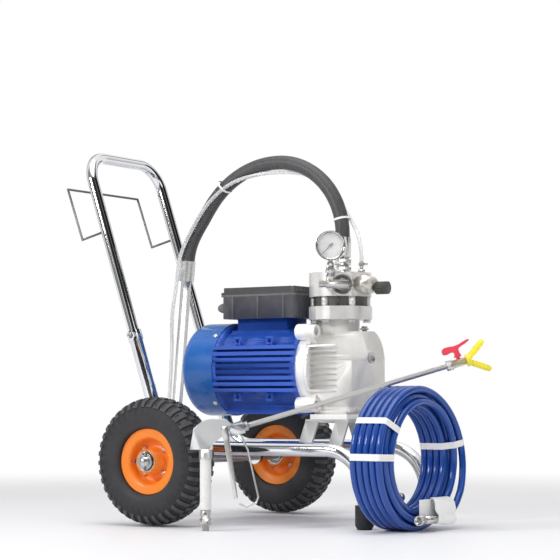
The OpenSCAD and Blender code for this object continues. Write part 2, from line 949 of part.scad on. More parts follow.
// The cast case: arched block, neck for the pump, foot, bolt lugs and side ribs
module crankcase() {
    half = crank_w / 2;
    rib_n = 9;
    sump = [half - 15, foot_z + 26];
    color(alloy_c)
        difference() {
            union() {
                translate([crank_x, 0, 0])
                    rotate([90, 0, 90])
                        linear_extrude(crank_l)
                            intersection() {
                                union() {
                                    translate([-half, foot_z + 26]) square([crank_w, 92]);
                                    translate([0, motor_z + 12]) circle(half);
                                }
                                translate([-half, foot_z + 20]) square([crank_w, 158]);
                            }
                on_shaft(crank_x, body_r - 6, 7);
                translate([crank_x + 8, -half - 8, foot_z])
                    cube([crank_l - 15, crank_w + 16, 10]);
                translate([crank_x + 14, -half + 4, foot_z]) cube([crank_l - 30, crank_w - 8, 40]);
                translate([pump_x, 0, motor_z + 40])
                    cylinder(r = neck_r, h = flange_z - motor_z - 40);
                for (i = [-1, 1], j = [-1, 1])
                    translate([crank_x, i * lug.x, motor_z + j * lug.y]) {
                        rotate([0, 90, 0]) cylinder(r1 = lug_r, r2 = lug_r - 2, h = lug_l);
                        rotate([atan2(-j, -i), 0, 0])
                            translate([0, 0, 4 - lug_r]) cube([lug_l - 4, 40, 2 * lug_r - 8]);
                    }
                for (s = [-1, 1], i = [0 : rib_n - 1])
                    translate([crank_x, 0, motor_z + (i - (rib_n - 1) / 2) * 11.4 - 2.5])
                        linear_extrude(5)
                            polygon([
                                [0, s * (half - 2)], [0, s * (half + 10)],
                                [66, s * (half + 1)], [66, s * (half - 2)]
                            ]);
                translate([crank_end - 1, 0, motor_z + 21])
                    rotate([0, 90, 0]) cylinder(r = 15, h = 5);
                for (s = [-1, 1])
                    translate([crank_x + 30, s * sump.x, sump.y]) {
                        rotate([0, 90, 0]) cylinder(r = 14, h = crank_l - 46);
                        translate([crank_l - 46, 0, 0]) sphere(14);
                    }
            }
            translate([crank_x - 30, -half, foot_z]) cube([30, crank_w, flange_z - foot_z]);
            on_shaft(crank_x - 1, 44, crank_l - 11);
            translate([pump_x, 0, motor_z]) cylinder(r = 20, h = 110);
            translate([crank_end - 20, 0, motor_z + 21])
                rotate([0, 90, 0]) cylinder(r = 8, h = 40);
            translate([crank_end - 9, 0, motor_z + 70]) cylinder(r = 5, h = 20);
            for (i = [-1, 1], j = [-1, 1])
                translate([crank_x - 1, i * lug.x, motor_z + j * lug.y])
                    rotate([0, 90, 0]) {
                        cylinder(r = 5, h = 40);
                        translate([0, 0, lug_l - 12]) cylinder(r = 9, h = 30);
                    }
            for (x = [crank_x + 22, crank_x + 78], y = [-50, 50])
                translate([x, y, foot_z - 1]) cylinder(r = 4.5, h = 18);
        }
}

// Four cap screws through the case into the shield, and four up into the foot
module flange_bolts() {
    color(steel_c) {
        for (i = [-1, 1], j = [-1, 1])
            translate([body_end + 1, i * lug.x, motor_z + j * lug.y])
                rotate([0, 90, 0]) {
                    cylinder(r = 5, h = shield_l + lug_l - 12);
                    translate([0, 0, shield_l + lug_l - 13]) cap_head(8, 9);
                }
        for (x = [crank_x + 22, crank_x + 78], y = [-50, 50])
            translate([x, y, foot_z]) {
                translate([0, 0, -8]) cylinder(r = 4.5, h = 23);
                translate([0, 0, -13]) hex(13, 6);
            }
    }
}

// The socket plug on the case's front face and the hexagon oil plug on its shoulder
module crankcase_plugs() {
    color(steel_c) {
        translate([crank_end + 4, 0, motor_z + 21])
            rotate([0, 90, 0])
                difference() {
                    union() {
                        translate([0, 0, -12]) cylinder(r = 8, h = 13);
                        cylinder(r = 11.5, h = 5);
                    }
                    translate([0, 0, -3]) hex(10, 10);
                }
        translate([crank_end - 9, 0, motor_z + 78]) {
            translate([0, 0, -6]) cylinder(r = 5, h = 7);
            cylinder(r = 9, h = 3);
            translate([0, 0, 2]) hex(12, 5);
        }
    }
}

// The crank on the shaft's end, which lifts the piston
module eccentric() {
    throw = 4;
    color(steel_c)
        difference() {
            translate([pump_x - 12, 0, motor_z + throw])
                rotate([0, 90, 0]) cylinder(r = 26, h = 24);
            on_shaft(pump_x - 13, shaft_r, 26);
        }
}

// The piston under the diaphragm, with its round foot over the eccentric
module piston() {
    top = flange_z - 7;
    color(steel_c)
        translate([pump_x, 0, motor_z + 31]) {
            cylinder(r = 19.6, h = 8);
            cylinder(r = 9, h = top - motor_z - 36);
            translate([0, 0, top - motor_z - 45]) cylinder(r = 19.6, h = 14);
        }
}

// ---- Pump head ----

// The lower flange on the neck, notched between its bolt lobes
module pump_flange() {
    color(alloy_c)
        difference() {
            translate([pump_x, 0, flange_z]) cylinder(r = head_r, h = flange_h);
            translate([pump_x, 0, flange_z - 1]) cylinder(r = 20, h = flange_h + 2);
            for (i = [0 : head_bolt_n - 1])
                translate([pump_x, 0, flange_z - 1])
                    rotate([0, 0, head_bolt_turn + i * 360 / head_bolt_n]) {
                        translate([bolt_circle - 4, 0, 0]) cylinder(r = 5, h = flange_h + 2);
                        rotate([0, 0, 180 / head_bolt_n])
                            translate([head_r - 2, -18, 0]) cube([10, 36, flange_h + 2]);
                    }
        }
}

// The rubber-edged plate clamped between flange and block
module diaphragm() {
    color(black_c)
        translate([pump_x, 0, flange_z + flange_h]) {
            difference() {
                cylinder(r = head_r - 9, h = ring_h);
                for (i = [0 : head_bolt_n - 1])
                    rotate([0, 0, head_bolt_turn + i * 360 / head_bolt_n])
                        translate([bolt_circle - 4, 0, -1]) cylinder(r = sleeve_r + 0.3, h = ring_h + 2);
            }
            translate([0, 0, -flange_h]) cylinder(r = 19.6, h = flange_h + 1);
        }
}

// The steel block with its machined pocket and flats
module head_block() {
    h = head_top - block_z;
    color(steel_c)
        difference() {
            translate([pump_x, 0, block_z]) cylinder(r = head_r - 1, h = h);
            translate([pump_x, 0, outlet_z])
                rotate([0, 90, gauge_turn + 4]) {
                    translate([0, 0, head_r - 16]) cylinder(r = 20, h = 30);
                    cylinder(r = 9, h = head_r);
                }
            translate([pump_x, 0, block_z - 1])
                rotate([0, 0, gauge_turn + 42]) translate([head_r - 5, -40, 0]) cube([10, 80, h + 2]);
            translate([inlet_x, 0, head_top - 20]) cylinder(r = 12, h = 30);
            translate([reg_x - 30, 0, reg_z]) rotate([0, 90, 0]) cylinder(r = 12, h = 60);
            translate([reg_x + 4, 40, reg_z]) rotate([90, 0, 0]) cylinder(r = 18.3, h = 90);
            translate([pump_x + 50, 0, head_top - 12]) cylinder(r = 4, h = 20);
            for (i = [0 : head_bolt_n - 1])
                translate([pump_x, 0, block_z - 1])
                    rotate([0, 0, head_bolt_turn + i * 360 / head_bolt_n])
                        translate([bolt_circle - 4, 0, 0]) cylinder(r = 5, h = 22);
        }
}

// Six long bolts with spacer sleeves across the gap and heads below
module head_bolts() {
    color(chrome_c)
        for (i = [0 : head_bolt_n - 1])
            translate([pump_x, 0, flange_z])
                rotate([0, 0, head_bolt_turn + i * 360 / head_bolt_n])
                    translate([bolt_circle - 4, 0, 0]) {
                        translate([0, 0, -1]) cylinder(r = 5, h = flange_h + ring_h + 20);
                        translate([0, 0, flange_h]) cylinder(r = sleeve_r, h = ring_h);
                        translate([0, 0, -6]) hex(13, 6);
                    }
}

// The outlet fitting in the pocket: stem, tee body, threaded outlet and gauge riser
module outlet_manifold() {
    color(chrome_c)
        translate([pump_x, 0, outlet_z])
            rotate([0, 0, gauge_turn + 4])
                difference() {
                    union() {
                        translate([head_r - 30, 0, 0]) rotate([0, 90, 0]) cylinder(r = 9, h = 38);
                        translate([head_r - 15, 0, 0]) rotate([0, 90, 0]) hex(24, 9);
                        translate([manifold_out, 12, 0]) rotate([90, 0, 0]) cylinder(r = 9, h = 46);
                        translate([manifold_out, -34, 0])
                            rotate([90, 0, 0]) cylinder(r = thread_r, h = 14);
                        translate([manifold_out, 0, 0])
                            translate([0, -gauge_shift, 0]) cylinder(r = 8, h = 34);
                        translate([manifold_out, -gauge_shift, 18]) hex(19, 12);
                    }
                    translate([manifold_out, -28, 0]) rotate([90, 0, 0]) cylinder(r = 3.5, h = 24);
                    translate([manifold_out, -gauge_shift, 20]) cylinder(r = 5, h = 20);
                }
}

// The gauge stands in this frame: Z along its face's direction, origin at its back
module at_gauge() {
    translate([pump_x, 0, gauge_z])
        rotate([0, 0, gauge_turn + 4])
            translate([manifold_out, -gauge_shift, 0]) rotate([0, 90, 0]) children();
}

// The round case with its stem, open in front, and the white dial plate
module pressure_gauge() {
    r = gauge_d / 2;
    color(chrome_c)
        at_gauge()
            difference() {
                union() {
                    translate([0, 0, -12]) cylinder(r = r - 1.5, h = 24);
                    translate([0, 0, 8]) cylinder(r = r, h = 7);
                    translate([gauge_z - outlet_z - 22, 0, 0])
                        rotate([0, -90, 0]) cylinder(r = 5, h = 40);
                    translate([gauge_z - outlet_z - 34, 0, 0]) rotate([0, -90, 0]) hex(14, 9);
                }
                cylinder(r = r - 4, h = 20);
            }
    color(white_c)
        at_gauge()
            difference() {
                translate([0, 0, -0.5]) cylinder(r = r - 4, h = 3.5);
                cylinder(r = 2.2, h = 10);
            }
}

module gauge_glass() {
    color([0.85, 0.92, 0.95, 0.35])
        at_gauge() translate([0, 0, 11]) cylinder(r = gauge_d / 2 - 4, h = 2);
}

module gauge_needle() {
    color(black_c)
        at_gauge() {
            cylinder(r = 2, h = 6);
            translate([0, 0, 5]) cylinder(r = 3.5, h = 2);
            translate([0, 0, 5])
                rotate([0, 0, -45])
                    linear_extrude(1.2) polygon([[-7, -1.6], [22, -0.5], [22, 0.5], [-7, 1.6]]);
        }
}

// The pressure valve's round body at the front of the block, with its hexagon plug
module regulator_body() {
    color(alloy_c)
        difference() {
            union() {
                translate([reg_x - 25, 0, reg_z]) rotate([0, 90, 0]) cylinder(r = 12, h = 29);
                translate([reg_x + 4, 12, reg_z]) rotate([90, 0, 0]) cylinder(r = 18, h = 38);
                translate([reg_x + 4, -25, reg_z]) rotate([90, 0, 0]) hex(14, 7);
            }
            translate([reg_x + 12, 4, knob_z]) rotate([0, 90, 0]) cylinder(r = 6, h = 20);
        }
}

// The ribbed knob on the valve's front end
module pressure_knob() {
    rib_n = 18;
    color(black_c)
        translate([reg_x + 13, 4, knob_z])
            rotate([0, 90, 0]) {
                cylinder(r = 5.9, h = 12);
                difference() {
                    translate([0, 0, 9.5]) cylinder(r = 13, h = 26);
                    for (i = [0 : rib_n - 1])
                        rotate([0, 0, i * 360 / rib_n])
                            translate([13.4, 0, 12]) cylinder(r = 1.2, h = 30, $fn = 16);
                }
            }
}

// The bleed nipple on top of the block, with the clamp that holds the return tube
module bleed_valve() {
    color(steel_c)
        translate([pump_x + 50, 0, head_top]) {
            translate([0, 0, -11]) cylinder(r = 4, h = 12);
            hex(14, 6);
            cylinder(r = 2.4, h = 24);
            translate([0, 0, 14])
                difference() {
                    cylinder(r = 6, h = 6);
                    translate([0, 0, -1]) cylinder(r = 4.2, h = 8);
                }
            translate([5, -1.5, 15]) cube([9, 3, 4]);
        }
}

// ---- Suction ----

function pipe_way() = [-sin(pipe_tilt), 0, -cos(pipe_tilt)];
function pipe_at(d) = [tail_x, 0, tail_z] + d * pipe_way();
function pipe_length() = (tail_z - 6) / cos(pipe_tilt);

// An arc in the XZ plane as points, past its first one
function arc_xz(x, z, r, from, sweep, n) = [
    for (i = [1 : n]) let (a = from + sweep * i / n) [x + r * cos(a), 0, z + r * sin(a)]
];

// The suction hose: up from the pump, over the arch and down to the pipe
module suction_hose() {
    drop_cx = drop_x + drop_r * cos(90 - side_turn);
    drop_cz = drop_z - drop_r * sin(90 - side_turn);
    pts = concat(
        [[inlet_x, 0, head_top + 40], [inlet_x, 0, arch_z]],
        arc_xz(arch_x, arch_z, arch_r, 0, 90, 9),
        arc_xz(arch_x, arch_top - side_r, side_r, 90, side_turn, 6),
        [[drop_x, 0, drop_z]],
        arc_xz(drop_cx, drop_cz, drop_r, 90 + side_turn, drop_turn, 3),
        [pipe_at(26)]
    );
    color(black_c) sweep(pts, hose_r, 16, [0, 1, 0], hose_bore);
}

// Pressed ferrules over both ends of the suction hose, each with its fitting
module hose_ferrules() {
    up = head_top + 40;
    color(chrome_c) {
        difference() {
            union() {
                translate([inlet_x, 0, head_top - 19]) cylinder(r = 12, h = 30);
                translate([inlet_x, 0, head_top]) hex(34, 12);
                translate([inlet_x, 0, head_top + 16]) hex(34, 12);
                translate([inlet_x, 0, head_top + 10]) cylinder(r = 13, h = 24);
                translate([inlet_x, 0, up - 8]) cylinder(r = hose_r + 2, h = ferrule_l);
            }
            translate([inlet_x, 0, up]) cylinder(r = hose_r, h = ferrule_l);
            translate([inlet_x, 0, head_top - 20]) cylinder(r = 7, h = 80);
        }
        difference() {
            rod(pipe_at(-2), pipe_at(ferrule_l), hose_r + 2);
            rod(pipe_at(-3), pipe_at(26), hose_r);
            rod(pipe_at(20), pipe_at(ferrule_l + 1), pipe_d / 2);
        }
    }
}

// The rigid pipe that stands in the paint, with a slotted strainer at its foot
module suction_pipe() {
    l = pipe_length();
    bore = pipe_d / 2 - 1.5;
    color(chrome_c)
        difference() {
            union() {
                rod(pipe_at(26), pipe_at(l - 50), pipe_d / 2);
                rod(pipe_at(l - 56), pipe_at(l - 6), 24);
            }
            rod(pipe_at(25), pipe_at(l - 54), bore);
            rod(pipe_at(l - 55), pipe_at(l), 22);
            for (i = [0 : 11])
                translate(pipe_at(l - 28))
                    rotate([0, pipe_tilt, 0])
                        rotate([0, 0, i * 30]) translate([18, -2, -16]) cube([8, 4, 32]);
        }
}

// A place on the return tube: beside the hose's arc, by the angle along it and the turn round it
function beside(c, r, a, turn, k) =
    let (q = r - k * cos(turn))
    [c.x + q * cos(a), -k * sin(turn), c.y + q * sin(a)];
function by_pipe(d, turn, k) = pipe_at(d) + k * [cos(turn), -sin(turn), 0];

// The thin return tube: out of the bleed nipple, behind the hose, under the arch,
// over the near side of the far limb and down behind the pipe
module return_tube() {
    r = 4;
    k = hose_r + r + 1.6;
    near = pipe_d / 2 + r + 7;
    top = pump_x + 50;
    arch = [arch_x, arch_z];
    limb = [arch_x, arch_top - side_r];
    side = [
        [top, 0, head_top + 8],
        [top, 0, head_top + 26],
        [top, 0, head_top + 34],
        [top - 5, 3, head_top + 60],
        [top - 20, 12, head_top + 90],
        beside(arch, arch_r, 16, -105, k),
        beside(arch, arch_r, 42, -85, k),
        beside(arch, arch_r, 66, -45, k),
        beside(arch, arch_r, 90, 0, k),
        beside(limb, side_r, 106, 30, k),
        beside(limb, side_r, 122, 60, k),
        beside(limb, side_r, 138, 80, k),
        beside(limb, side_r, 90 + side_turn, 88, k),
        beside(limb, side_r, 90 + side_turn, 92, k) - slope_l * [cos(side_turn), 0, sin(side_turn)],
        by_pipe(-14, 102, k + 2),
        by_pipe(20, 112, k + 3),
        by_pipe(56, 126, k + 2),
        by_pipe(110, 150, near + 3),
        by_pipe(200, 170, near),
        by_pipe(320, 180, near),
        by_pipe(420, 180, near)
    ];
    color(white_c)
        difference() {
            sweep(spline(side, 4), r, 8, [0, 1, 0]);
            translate([top, 0, head_top + 7]) cylinder(r = 2.42, h = 17.1);
        }
}

// ---- Gun ----

// The gun stands in this frame: X forward along the barrel, Z up through the grip
module at_gun() {
    translate([gun_x, -gun_y, 0]) rotate([0, 0, gun_turn]) children();
}

// The pole's frame: Z along the pole, origin at the gun's nose
module at_pole() {
    at_gun() translate([nose_out, 0, nose_z]) rotate([0, 90 - pole_rise, 0]) children();
}

// The forged body: a flat side profile, the barrel and the nose nut
module gun_body() {
    color(chrome_c)
        difference() {
            union() {
                at_gun() {
                    translate([0, 11, 0])
                        rotate([90, 0, 0])
                            linear_extrude(22)
                                polygon([
                                    [-30, 157], [-23, 198], [-8, 211], [8, 217], [40, 216],
                                    [52, 205], [44, 186], [30, 180], [14, 168], [14, 157]
                                ]);
                    translate([0, 0, 138]) cylinder(r = 13, h = 20);
                }
                at_pole() {
                    translate([0, 0, -46]) cylinder(r = 9, h = 20);
                    translate([0, 0, -38]) hex(22, 28);
                    translate([0, 0, -11]) hex(16, 9);
                }
            }
            at_gun() {
                translate([0, 0, 137]) cylinder(r = 6, h = 33);
                translate([trigger_pin.x, 0, trigger_pin.y])
                    rotate([90, 0, 0]) cylinder(r = 3 + run_fit, h = 30, center = true);
                rod(guard_top, guard_knee, guard_wire);
                translate(guard_top) sphere(guard_wire + 0.1, $fn = 24);
            }
            at_pole() translate([0, 0, -12]) cylinder(d = pole_d, h = 20);
        }
}

// The long trigger, a curved channel hung on a pin through the body
module gun_trigger() {
    color(chrome_c)
        at_gun() {
            translate([trigger_pin.x, 0, trigger_pin.y])
                rotate([90, 0, 0]) cylinder(r = 3, h = 30, center = true);
            for (s = [-1, 1])
                translate([0, s * 13 + 1, 0])
                    rotate([90, 0, 0])
                        linear_extrude(2)
                            polygon([
                                [30, 202], [44, 202], [46, 176], [62, 64], [56, 60], [36, 172]
                            ]);
            translate([0, 14, 0])
                rotate([90, 0, 0])
                    linear_extrude(28)
                        polygon([[44, 174], [46, 176], [62, 64], [60, 62]]);
        }
}

// The wire guard in front of the trigger
module trigger_guard() {
    wire = guard_wire;
    pts = [
        guard_top, guard_knee, [82, 0, 156], [102, 0, 66], [98, 0, 54], [80, 0, 46],
        [66, 0, 52]
    ];
    color(chrome_c)
        at_gun() {
            for (i = [0 : len(pts) - 2]) rod(pts[i], pts[i + 1], wire);
            for (p = pts) translate(p) sphere(wire + 0.1, $fn = 24);
        }
}

// The white filter housing that is the gun's grip
module gun_grip() {
    color(white_c)
        at_gun()
            difference() {
                translate([0, 0, 41]) cylinder(r = 11, h = 97);
                translate([0, 0, 40]) cylinder(r = 7, h = 99);
            }
}

// The swivel under the grip, where the paint hose screws on
module inlet_swivel() {
    color(chrome_c)
        at_gun()
            difference() {
                union() {
                    cylinder(r = thread_r, h = 13);
                    translate([0, 0, 12]) hex(20, 12);
                    translate([0, 0, 23.5]) cylinder(r = 9, h = 7);
                    translate([0, 0, 30]) hex(17, 10.7);
                    translate([0, 0, 40]) cylinder(r = 6.95, h = 8);
                }
                translate([0, 0, -1]) cylinder(r = 3.5, h = 60);
            }
}

// The extension pole with its far nut and tip seat
module spray_pole() {
    color(chrome_c)
        at_pole()
            difference() {
                union() {
                    translate([0, 0, -11]) cylinder(d = pole_d, h = pole_l + 15);
                    translate([0, 0, pole_l]) hex(17, 14);
                    translate([0, 0, pole_l + 13]) cylinder(r = 8, h = 28);
                }
                translate([0, 0, -12]) cylinder(r = pole_d / 2 - 2, h = pole_l + 60);
                translate([0, 0, pole_l + 27])
                    rotate([0, -90, 0]) translate([0, 0, -7.5]) cylinder(r = 4, h = 20);
            }
}

// The tip guard: a collar with two spread wings
module tip_guard() {
    color(yellow_c)
        at_pole()
            translate([0, 0, pole_l + 41]) {
                difference() {
                    cylinder(r = 12, h = 10);
                    translate([0, 0, -1]) cylinder(r = 6, h = 12);
                }
                for (s = [-1, 1])
                    rotate([0, s * 35, 0])
                        translate([s * 2 - 3.5, -9, 4])
                            difference() {
                                cube([7, 18, 48]);
                                translate([-1, 4, 22]) cube([9, 10, 18]);
                            }
            }
}

// The reversible tip: a round stem across the seat, with its arrow handle
module spray_tip() {
    color(red_c)
        at_pole()
            translate([0, 0, pole_l + 27])
                rotate([0, -90, 0]) {
                    translate([0, 0, -7.2]) cylinder(r = 3.95, h = 32);
                    translate([0, 0, 9]) cylinder(r = 6.5, h = 4);
                    translate([0, 0, 22])
                        linear_extrude(9)
                            polygon([
                                [-26, -6], [-12, -8], [14, -6], [14, -3], [30, 0],
                                [14, 3], [14, 6], [-12, 8], [-26, 6]
                            ]);
                }
}

// ---- Paint hose coil ----

// The coil's frame: Z along its axis to the front, X to the left of the cart, Y up
module at_coil() {
    translate([coil_x, coil_y, coil_d / 2])
        rotate([0, 0, coil_turn])
            multmatrix([[0, 0, 1, -coil_w / 2], [1, 0, 0, 0], [0, 1, 0, 0]])
                children();
}

// Radius and axial place of the hose's middle line, by the turns wound so far
function wind_r(t) = lookup(t, [
    [0, coil_r1], [coil_turns, coil_r1], [coil_turns + 0.5, coil_r2],
    [2 * coil_turns, coil_r2], [2 * coil_turns + 0.5, coil_r3], [3 * coil_turns, coil_r3]
]);
function wind_w(t) = lookup(t, [
    [0, coil_w + lead_w], [0.27, coil_w - 0.27 * step], [coil_turns, 0],
    [coil_turns + 0.2, -swell], [coil_turns + 0.5, 0], [coil_turns + 1, step],
    [2 * coil_turns, coil_w], [2 * coil_turns + 0.2, coil_w + swell],
    [2 * coil_turns + 0.5, coil_w], [2 * coil_turns + 1, coil_w - step], [3 * coil_turns, 0]
]);
function wind(t) =
    let (a = start_angle + 360 * t)
    [wind_r(t) * cos(a), wind_r(t) * sin(a), wind_w(t)];

// An arc in the coil's plane: centre, radius, angles and first and last axial places
function flat_arc(c, r, a0, a1, n, w0, w1) = [
    for (i = [0 : n])
        let (a = a0 + (a1 - a0) * i / n)
        [c.x + r * cos(a), c.y + r * sin(a), w0 + (w1 - w0) * i / n]
];

function coil_points() = concat(
    [out_end - [line_d, 0, 0]],
    flat_arc(out_c, leave_r, -90, start_angle - 5, 5, out_end.z, coil_w + lead_w),
    [for (i = [0 : floor(end_turns * ring_n)]) wind(i / ring_n)],
    flat_arc(in_c, inner_r, end_angle % 360 + 14, end_angle % 360 + in_sweep, 6, in_end.z, in_end.z),
    [in_end + [line_d, 0, 0]]
);

function path_length(p) = let (s = [for (i = [1 : len(p) - 1]) norm(p[i] - p[i - 1])])
    s * [for (v = s) 1];
function coil_length() = path_length(coil_points());

// Least clear distance between the hose and itself, over points half a turn or more apart
function coil_gap() =
    let (p = coil_points(), n = len(p), skip = 12)
    min([
        for (i = [0 : n - 1], j = [i + skip : 1 : n - 2])
            let (
                v = p[j + 1] - p[j],
                u = max(0, min(1, (p[i] - p[j]) * v / (v * v)))
            )
            norm(p[i] - p[j] - u * v)
    ]) - line_d;

// A coil point in the cart's frame
function coil_place(p) =
    let (x = p.z - coil_w / 2, y = p.x)
    [
        coil_x + x * cos(coil_turn) - y * sin(coil_turn),
        coil_y + x * sin(coil_turn) + y * cos(coil_turn),
        coil_d / 2 + p.y
    ];

// The coil's upper points, with ten steps in each stretch
function coil_points_close() =
    let (p = coil_points())
    [
        for (i = [0 : len(p) - 2], k = [0 : 9])
            if (p[i].y > coil_r3 - line_d) p[i] + (p[i + 1] - p[i]) * k / 10
    ];

// The least rise at which the pole, laid from the gun's nose, clears a point of the coil
function rise_over(p) =
    let (
        x = p.x - gun_x,
        y = p.y + gun_y,
        along = x * cos(gun_turn) + y * sin(gun_turn) - nose_out,
        aside = y * cos(gun_turn) - x * sin(gun_turn),
        up = p.z - nose_z,
        reach = line_r + pole_d / 2 + rest_gap
    )
    abs(aside) < reach
        ? atan2(up, along) + asin(sqrt(reach * reach - aside * aside) / norm([along, up]))
        : 0;

module hose_coil() {
    color(hose_blue_c) at_coil() sweep(coil_points(), line_r, 6, [0, 0, 1]);
}

// The swaged fittings on the hose's two ends, each with its swivel nut
module coil_fittings() {
    color(chrome_c)
        at_coil()
            for (e = [[out_end, -1], [in_end, 1]])
                translate(e[0] + [e[1] * (line_d + 0.2), 0, 0])
                    rotate([0, e[1] * 90, 0])
                        difference() {
                            union() {
                                cylinder(r = line_r + 1, h = 38);
                                translate([0, 0, 36]) cylinder(r = 7, h = 10);
                                translate([0, 0, 42]) hex(17, 8);
                                translate([0, 0, 49]) cylinder(r = 9.5, h = 10);
                            }
                            translate([0, 0, 40]) cylinder(r = thread_r + run_fit, h = 30);
                        }
}

// Three ties round the coil's bundle, each as long as the turns under it need
module coil_ties() {
    inner = coil_r3 - line_r - 1;
    outer = coil_r1 + line_r + 1;
    back = -swell - line_r - 1;
    color(white_c)
        at_coil()
            for (a = [148, 178, 12])
                let (front = max(coil_w + swell, wind_w((a - start_angle) / 360)) + line_r + 1)
                rotate([0, 0, a])
                    rotate([90, 0, 0])
                        translate([0, 0, -3])
                            linear_extrude(6)
                                difference() {
                                    translate([inner - 1.2, back - 1.2])
                                        square([outer - inner + 2.4, front - back + 2.4]);
                                    translate([inner, back])
                                        square([outer - inner, front - back]);
                                }
}
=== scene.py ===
import bpy
import bmesh
import json
import math
from mathutils import Matrix, Vector


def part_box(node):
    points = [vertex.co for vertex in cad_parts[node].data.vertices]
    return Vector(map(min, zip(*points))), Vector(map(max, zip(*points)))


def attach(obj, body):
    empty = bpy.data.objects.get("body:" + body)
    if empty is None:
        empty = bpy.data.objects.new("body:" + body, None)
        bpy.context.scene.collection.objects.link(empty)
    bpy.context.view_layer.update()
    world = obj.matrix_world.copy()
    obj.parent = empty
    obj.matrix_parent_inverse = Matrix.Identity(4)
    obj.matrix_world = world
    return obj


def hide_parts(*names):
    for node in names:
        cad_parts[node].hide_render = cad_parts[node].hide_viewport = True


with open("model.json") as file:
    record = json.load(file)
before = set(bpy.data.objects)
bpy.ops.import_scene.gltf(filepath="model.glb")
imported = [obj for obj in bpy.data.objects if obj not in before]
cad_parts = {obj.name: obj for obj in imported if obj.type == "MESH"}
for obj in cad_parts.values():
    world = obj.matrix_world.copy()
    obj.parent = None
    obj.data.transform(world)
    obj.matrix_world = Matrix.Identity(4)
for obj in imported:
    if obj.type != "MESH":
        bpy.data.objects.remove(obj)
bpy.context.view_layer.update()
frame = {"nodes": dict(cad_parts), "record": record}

link = bpy.context.scene.collection.objects.link

# ---- Camera ----
# A long lens at knee height, looking slightly up from the front right of the cart.

view_from = Vector((2.2426, -3.3403, 0.2659))
view_to = Vector((0.9689, -1.3115, 0.4096))
lens = 121.25
roll = math.radians(-0.16)

camera = bpy.data.objects.new("camera", bpy.data.cameras.new("camera"))
link(camera)
camera.data.sensor_width = 36
camera.data.lens = lens
camera.data.clip_end = 60
look = (view_to - view_from).to_track_quat("-Z", "Y").to_matrix().to_4x4()
camera.matrix_world = Matrix.Translation(view_from) @ look @ Matrix.Rotation(roll, 4, "Z")
bpy.context.scene.camera = camera
bpy.context.scene.view_settings.view_transform = "Standard"

# ---- Paint hose coil ----
# Eleven metres of blue high-pressure hose, wound in three layers of five turns and stood on
# its edge. The cover is glossy extruded plastic. Both ends carry a swaged steel fitting.

mm = 0.001
hose_d = 14 * mm
wind_step = 14.6 * mm
turns = 5
coil_w = turns * wind_step
coil_r = 133 * mm
coil_at = Vector((0.499, -0.108, 0.140))
coil_turn = math.radians(-5)
lead_out = 16 * mm
lead_rise = 5 * mm
swell = 2.5 * mm
start_angle = -30
end_turns = 14.66
lead_turns = 0.27
swell_turns = 0.2
step_turns = 0.5
ring_n = 24
leave_r = 100 * mm
inner_r = 56 * mm


def nodes_of(material):
    """The empty node tree of a material or a world."""
    material.use_nodes = True
    tree = material.node_tree
    tree.nodes.clear()
    return tree


def add(tree, kind, **values):
    node = tree.nodes.new(kind)
    for name, value in values.items():
        setattr(node, name, value)
    return node


def wire(tree, out, into):
    tree.links.new(out, into)


